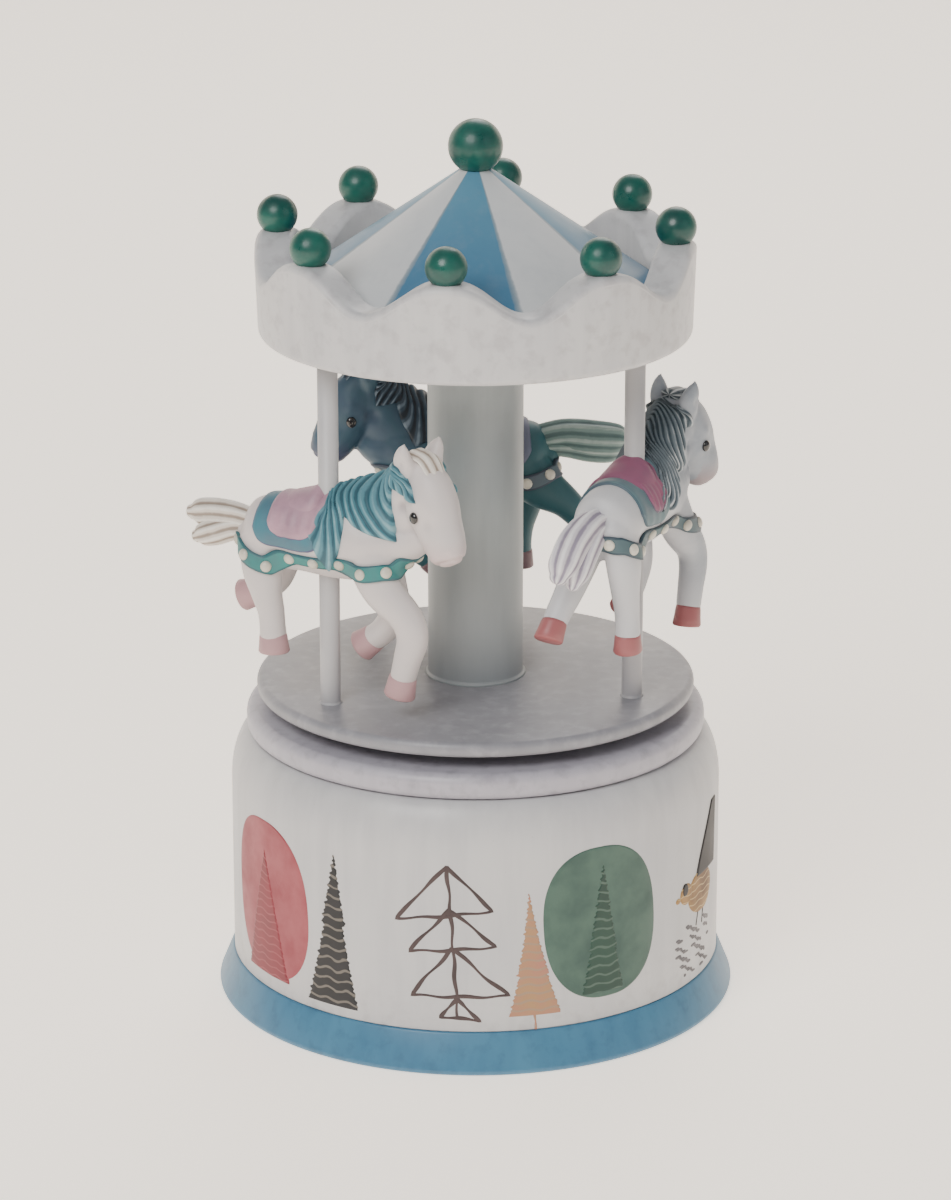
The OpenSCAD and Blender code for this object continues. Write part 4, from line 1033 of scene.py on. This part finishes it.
def hoofSolid(shape, side):
    # A blunt cone from the pastern to the ground face, with a rounded coronet and a flat sole
    (x0, y0, z0), (x1, y1, z1) = hoof[shape]
    rows = [(0.0, 2.15), (0.06, 2.5), (0.2, 2.62), (0.55, 2.75), (0.92, 2.95), (1.0, 2.75)]
    profile = np.array([[0.0, 0.0]] + [[r, t] for t, r in rows] + [[0.0, 1.0]])
    points, faces = revolve(profile, 30, closed=False)
    start, end = np.array([x0, side * y0, z0]), np.array([x1, side * y1, z1])
    down = end - start
    across = np.array([0, 1.0, 0])
    forward = np.cross(across, down / np.linalg.norm(down))
    placed = start + points[:, :1] * forward * 1.08 + points[:, 1:2] * across * 0.95 + points[:, 2:] * down
    return placed, faces


eye = {"x": 19.6, "y": 4.75, "z": 34.0, "radius": 1.05, "squash": (1.0, 0.62, 1.1)}


def eyeBead(side):
    points, faces = ballSurface(np.zeros(3), eye["radius"], 0, 14, 20)
    return points * np.array(eye["squash"]) + np.array([eye["x"], side * eye["y"], eye["z"]]), faces


forelockRows = [(14.8, 0, 44.6, 1.2, 2.6), (18.4, 0, 44.0, 1.2, 2.5), (21.0, 0, 41.0, 1.0, 1.9),
                (22.6, 0, 38.4, 0.4, 0.7)]
foreLegs = [("foreLift", rightSide), ("foreFold", leftSide)]
mane = {"locks": 3, "high": 5}
cover = (-14.2, 3.0, -10.6, 1.0)  # the cloth's rear and front, then the flap's
colts = [
    {"body": resin("creamResinPaint", tint(210, 203, 202), tint(140, 130, 138), tint(204, 182, 182)),
     "slot": "white_resin",
     "legs": [("hindShort", rightSide), ("hindBack", leftSide)] + foreLegs,
     "mane": dict(mane, start=0.0, cut=0.5, point=0.9, low=0.5, slip=0.5, reachLow=2.5, reachHigh=2.4,
                  strands=17, thick=0.7, groove=0.5, crest=0.7),
     "maneFinish": hairPaint("tealManePaint", tint(40, 86, 100), tint(82, 134, 148), tint(128, 170, 180)),
     "tail": [[(-14.6, 0, 26.4, 2.2, 2.0), (-20.5, 0.3, 27.3, 2.6, 2.4), (-25, 0.8, 27.2, 2.8, 2.5),
               (-28.6, 1.0, 26.8, 2.6, 2.2), (-30.4, 1.0, 26.6, 1.5, 1.4)],
              [(-14.6, 0, 25.2, 2.0, 1.8), (-20.0, -0.3, 25.0, 2.3, 2.1), (-24, -0.8, 23.8, 2.5, 2.3),
               (-27.0, -1.0, 22.9, 2.2, 2.0), (-28.4, -1.0, 22.4, 1.3, 1.2)]],
     "tailFinish": hairPaint("creamTailPaint", tint(150, 136, 124), tint(216, 208, 198), tint(238, 234, 226)),
     "cloth": trimPaint("violetEdgedCloth", tint(64, 122, 138), tint(84, 92, 134), 0.3),
     "trimSlot": "blue_paint",
     "seat": trimPaint("roseSaddlePaint", tint(190, 150, 166), tint(92, 88, 128), 0.22),
     "strap": trimPaint("tealStrapPaint", tint(46, 134, 130), tint(34, 104, 108), 0.2),
     "hoof": resin("roseHoofPaint", tint(184, 146, 150), tint(134, 98, 104), tint(184, 146, 150))},
    # front: painted shade over the forehand
    {"body": resin("whiteResinPaint", tint(198, 199, 203), tint(120, 124, 136), tint(156, 132, 132),
                   front=tint(132, 142, 154)), "slot": "white_resin",
     "legs": [("hindStraight", rightSide), ("hindReach", leftSide)] + foreLegs,
     "mane": dict(mane, start=0.4, cut=0.25, point=1.2, low=1.6, slip=2.2, reachLow=2.0, reachHigh=1.6,
                  strands=15, thick=0.8, groove=0.6, crest=0.8),
     "maneFinish": hairPaint("slateManePaint", tint(56, 72, 82), tint(100, 112, 120), tint(190, 196, 200)),
     "tail": [[(-14.6, 0, 26.4, 2.4, 2.2), (-19.4, 0.6, 26.8, 2.8, 2.6), (-24.4, 1.6, 24.6, 3.1, 2.9),
               (-27.6, 2.3, 21.2, 2.8, 2.8), (-29.0, 2.6, 19.0, 1.6, 1.7)],
              [(-14.6, 0, 25.2, 2.2, 2.0), (-18.6, 0.2, 25.0, 2.6, 2.6), (-22.4, 0.4, 22.4, 2.7, 2.7),
               (-25.0, 0.8, 18.8, 2.3, 2.4), (-26.0, 1.0, 16.8, 1.2, 1.4)]],
     "tailFinish": hairPaint("greyTailPaint", tint(142, 134, 152), tint(206, 202, 210), tint(236, 236, 238)),
     "cloth": trimPaint("seaGreenCloth", tint(92, 122, 128), tint(62, 92, 102), 0.3), "trimSlot": "blue_paint",
     "cover": (-11.4, 1.8, -7.6, 0.4), "strapFront": -1.6,
     "seat": trimPaint("maroonSaddlePaint", tint(146, 84, 112), tint(88, 76, 96), 0.3),
     "strap": trimPaint("deepTealStrapPaint", tint(76, 104, 108), tint(48, 76, 84), 0.2),
     "hoof": resin("redHoofPaint", tint(158, 92, 94), tint(110, 62, 66), tint(158, 92, 94))},
    # front: painted shade over the forehand
    {"body": resin("darkTealResinPaint", tint(44, 90, 98), tint(16, 46, 58), tint(86, 86, 112), creaseShade=1.2,
                   front=tint(62, 84, 106)), "slot": "green_resin",
     "legs": [("hindStraight", rightSide), ("hindStretch", leftSide)] + foreLegs,
     "mane": dict(mane, start=0.2, cut=0.4, point=1, low=1.2, slip=1.0, reachLow=2.0, reachHigh=1.5, strands=16,
                  thick=0.7, groove=0.5, crest=0.7),
     "maneFinish": hairPaint("darkSlateManePaint", tint(22, 34, 46), tint(50, 70, 86), tint(116, 132, 146)),
     "tail": [[(-14.8, 0, 28.6, 2.6, 2.4), (-20.5, 0.3, 29.4, 3.0, 2.8), (-26.4, 0.8, 28.8, 3.3, 2.9),
               (-31.4, 0.8, 28.2, 3.0, 2.7), (-33.4, 0.8, 27.9, 1.8, 1.7)],
              [(-14.8, 0, 27.4, 2.4, 2.2), (-20.4, -0.3, 27.4, 2.8, 2.6), (-26, -0.8, 26.2, 3.0, 2.7),
               (-30.2, -0.9, 25.4, 2.6, 2.3), (-32.0, -0.9, 25.0, 1.5, 1.5)]],
     "tailFinish": hairPaint("greyGreenTailPaint", tint(84, 108, 108), tint(122, 146, 142),
                             tint(166, 184, 178)),
     "cloth": trimPaint("duskyCloth", tint(104, 112, 132), tint(76, 90, 112), 0.3), "trimSlot": "green_resin",
     "seat": trimPaint("duskRoseSaddlePaint", tint(176, 142, 158), tint(116, 88, 110), 0.16),
     "strap": trimPaint("slateStrapPaint", tint(92, 110, 118), tint(62, 78, 90), 0.2),
     "hoof": resin("darkHoofPaint", tint(120, 92, 98), tint(70, 54, 62), tint(120, 92, 98))},
]
studPaint = lacquer("paleStudPaint", tint(226, 222, 206), tint(190, 184, 170), 0.3, 0.3)
eyePaint = lacquer("blackEyeGloss", tint(16, 14, 16), tint(4, 4, 5), 0.08, 1.0)


def horsePiece(name, k, parts, finish, marks=None):
    buildPiece(f"{name}{k + 1}", [(seated(part[0], k), part[1]) for part in parts], finish, "turntable",
               marks)


def hairPiece(name, k, locks, finish):
    horsePiece(name, k, locks, finish, {"strand": [lock[2].ravel() for lock in locks]})


for k, colt in enumerate(colts):
    body = horseBody(k, colt["body"], colt["legs"])
    points, off, strand = maneSheet(colt["mane"])
    drape(f"horseMane{k + 1}", k, body, points, (200, 121), off, colt["maneFinish"], "strand",
          strand)
    forelock = [tailLock(forelockRows, 40, 36, 7, 0.1, 0.5)]
    hairPiece("horseForelock", k, forelock, colt["maneFinish"] if k else colt["tailFinish"])
    hairPiece("horseTail", k, [tailLock(rows, depth=0.09) for rows in colt["tail"]], colt["tailFinish"])
    clothRear, clothFront, flapRear, flapFront = colt.get("cover", cover)
    points, off, rim = clothSheet(clothRear, clothFront, 1.85, 0.6, 9)
    drape(f"saddleCloth{k + 1}", k, body, points, (70, 91), off, colt["cloth"], "rim", rim)
    points, off, rim = clothSheet(flapRear, flapFront, 1.55, 1.05, 7)
    drape(f"saddleFlap{k + 1}", k, body, points, (70, 91), off, colt["seat"], "rim", rim)
    points, faces, rim = saddleSeat()
    horsePiece("saddle", k, [(points, faces)], colt["seat"], {"rim": [rim.ravel()]})
    harness(k, body, colt["strap"], studPaint, colt.get("strapFront", strap["front"]))
    horsePiece("hooves", k, [hoofSolid(shape, side) for shape, side in colt["legs"]], colt["hoof"])
    horsePiece("horseEyes", k, [eyeBead(leftSide), eyeBead(rightSide)], eyePaint)
print("horses built")

# ---- floor, light, camera ----

studio = {"floor": tint(250, 240, 227), "glow": 1.25, "key": 12.5, "fill": 1.0, "back": 3.5, "sky": 0.3,
          "drop": 0.03,
          "turn": -4.0, "distance": 0.8367, "height": 0.351, "tilt": 17.94, "lens": 88.4}


def sweepSurface(width=6.0, depth=3.0, rise=2.4, bend=0.9):
    # A floor that turns up into a backdrop through a quarter circle of radius "bend"
    t = np.linspace(0, np.pi / 2, 25)
    side = np.concatenate([[[-depth, 0.0]], np.stack([depth - bend + bend * np.sin(t), bend * (1 - np.cos(t))],
            -1), [[depth, rise]]])
    x = np.linspace(-width, width, 9)
    grid = np.stack([x[None] + 0 * side[:, :1], side[:, :1] + 0 * x[None], side[:, 1:] + 0 * x[None]],
                    -1) / mm - np.array([0, 0, studio["drop"]])
    return grid, gridFaces(len(side), len(x), wrapColumns=False)[:, ::-1]


floorFinish, tree, shader, place = newFinish("paleStudioFloor")
tree.links.new(blendColour(tree, noise(tree, place, 1.5, 2), studio["floor"], tint(247, 237, 226)),
               shader.inputs["Base Color"])
shader.inputs["Roughness"].default_value = 0.85
shader.inputs["Emission Color"].default_value = studio["floor"]
shader.inputs["Emission Strength"].default_value = studio["glow"]
sweepPoints, sweepFaces = sweepSurface()
sweep = newObject("studioSweep", sweepPoints.reshape(-1, 3), sweepFaces.tolist(), floorFinish)


def areaLight(name, place, target, size, power, colour=(1, 1, 1)):
    lamp = bpy.data.lights.new(name, "AREA")
    lamp.shape, lamp.size, lamp.energy, lamp.color = "DISK", size, power, colour
    holder = bpy.data.objects.new(name, lamp)
    holder.location = place
    direction = np.array(target) - np.array(place)
    holder.rotation_euler = (np.arctan2(np.hypot(*direction[:2]), -direction[2]), 0,
                             np.arctan2(direction[1], direction[0]) - np.pi / 2)
    bpy.context.scene.collection.objects.link(holder)


areaLight("keySoftbox", (-0.55, -0.9, 1.0), (0, 0, 0.09), 0.8, studio["key"], (1, 0.985, 0.96))
areaLight("fillSoftbox", (0.9, -0.7, 0.6), (0, 0, 0.08), 0.9, studio["fill"], (0.96, 0.98, 1))
areaLight("backSoftbox", (0.2, 0.9, 0.9), (0, 0, 0.12), 0.7, studio["back"])
world = bpy.data.worlds.new("studioSky")
bpy.context.scene.world = world
world.use_nodes = True
world.node_tree.nodes["Background"].inputs["Color"].default_value = (0.98, 0.98, 1.0, 1)
world.node_tree.nodes["Background"].inputs["Strength"].default_value = studio["sky"]
view = bpy.data.cameras.new("pictureView")
view.sensor_fit, view.sensor_height, view.lens = "VERTICAL", 24, studio["lens"]
viewHolder = bpy.data.objects.new("pictureView", view)
a = radians(studio["turn"])
viewHolder.location = (studio["distance"] * np.sin(a), -studio["distance"] * np.cos(a), studio["height"])
viewHolder.rotation_euler = (radians(90 - studio["tilt"]), 0, a)
bpy.context.scene.collection.objects.link(viewHolder)
bpy.context.scene.camera = viewHolder
print("studio ready")


# ---- finishes of the parts inside and below ----

metals = {
    "brass": metal("turnedBrass", tint(206, 170, 98), tint(150, 114, 62), 0.26, (0.3, 0.3, 6)),
    "zinc": metal("castZinc", tint(168, 170, 174), tint(120, 122, 128), 0.42, (1, 1, 1), 320),
    "steel": metal("brightSteel", tint(204, 206, 210), tint(150, 152, 158), 0.22, (0.4, 0.4, 8)),
    "spring": metal("bluedSpringSteel", tint(112, 120, 138), tint(70, 76, 92), 0.28, (0.3, 0.3, 5)),
    "screws": metal("blackenedScrews", tint(74, 72, 74), tint(40, 38, 40), 0.36, (1, 1, 3), 700),
}
ivory = lacquer("ivoryPlastic", tint(226, 216, 190), tint(200, 188, 160), 0.34, 0.1)
keptNodes = {
    metals["brass"]: ["lid_bush", "turntable_hub", "winding_key", "ratchet_wheel", "great_wheel",
                      "pinned_cylinder", "cylinder_pinion", "cylinder_wheel"],
    metals["zinc"]: ["bedplate", "inner_bracket", "outer_bracket", "governor_bracket"],
    metals["steel"]: ["spring_arbor", "spring_barrel", "drive_shaft", "cylinder_arbor", "governor_arbor",
                      "worm_shaft", "tuned_comb"],
    metals["spring"]: ["click_spring", "mainspring"],
    metals["screws"]: ["bedplate_screws", "bracket_screws", "comb_screws", "hub_screws"],
    ivory: ["worm_wheel", "air_fan"],
    bareWood: ["finial_dowel"],
}
for finish, names in keptNodes.items():
    for name in names:
        mesh = nodes[name].data
        mesh.materials.clear()
        mesh.materials.append(finish)
print("inner parts finished")
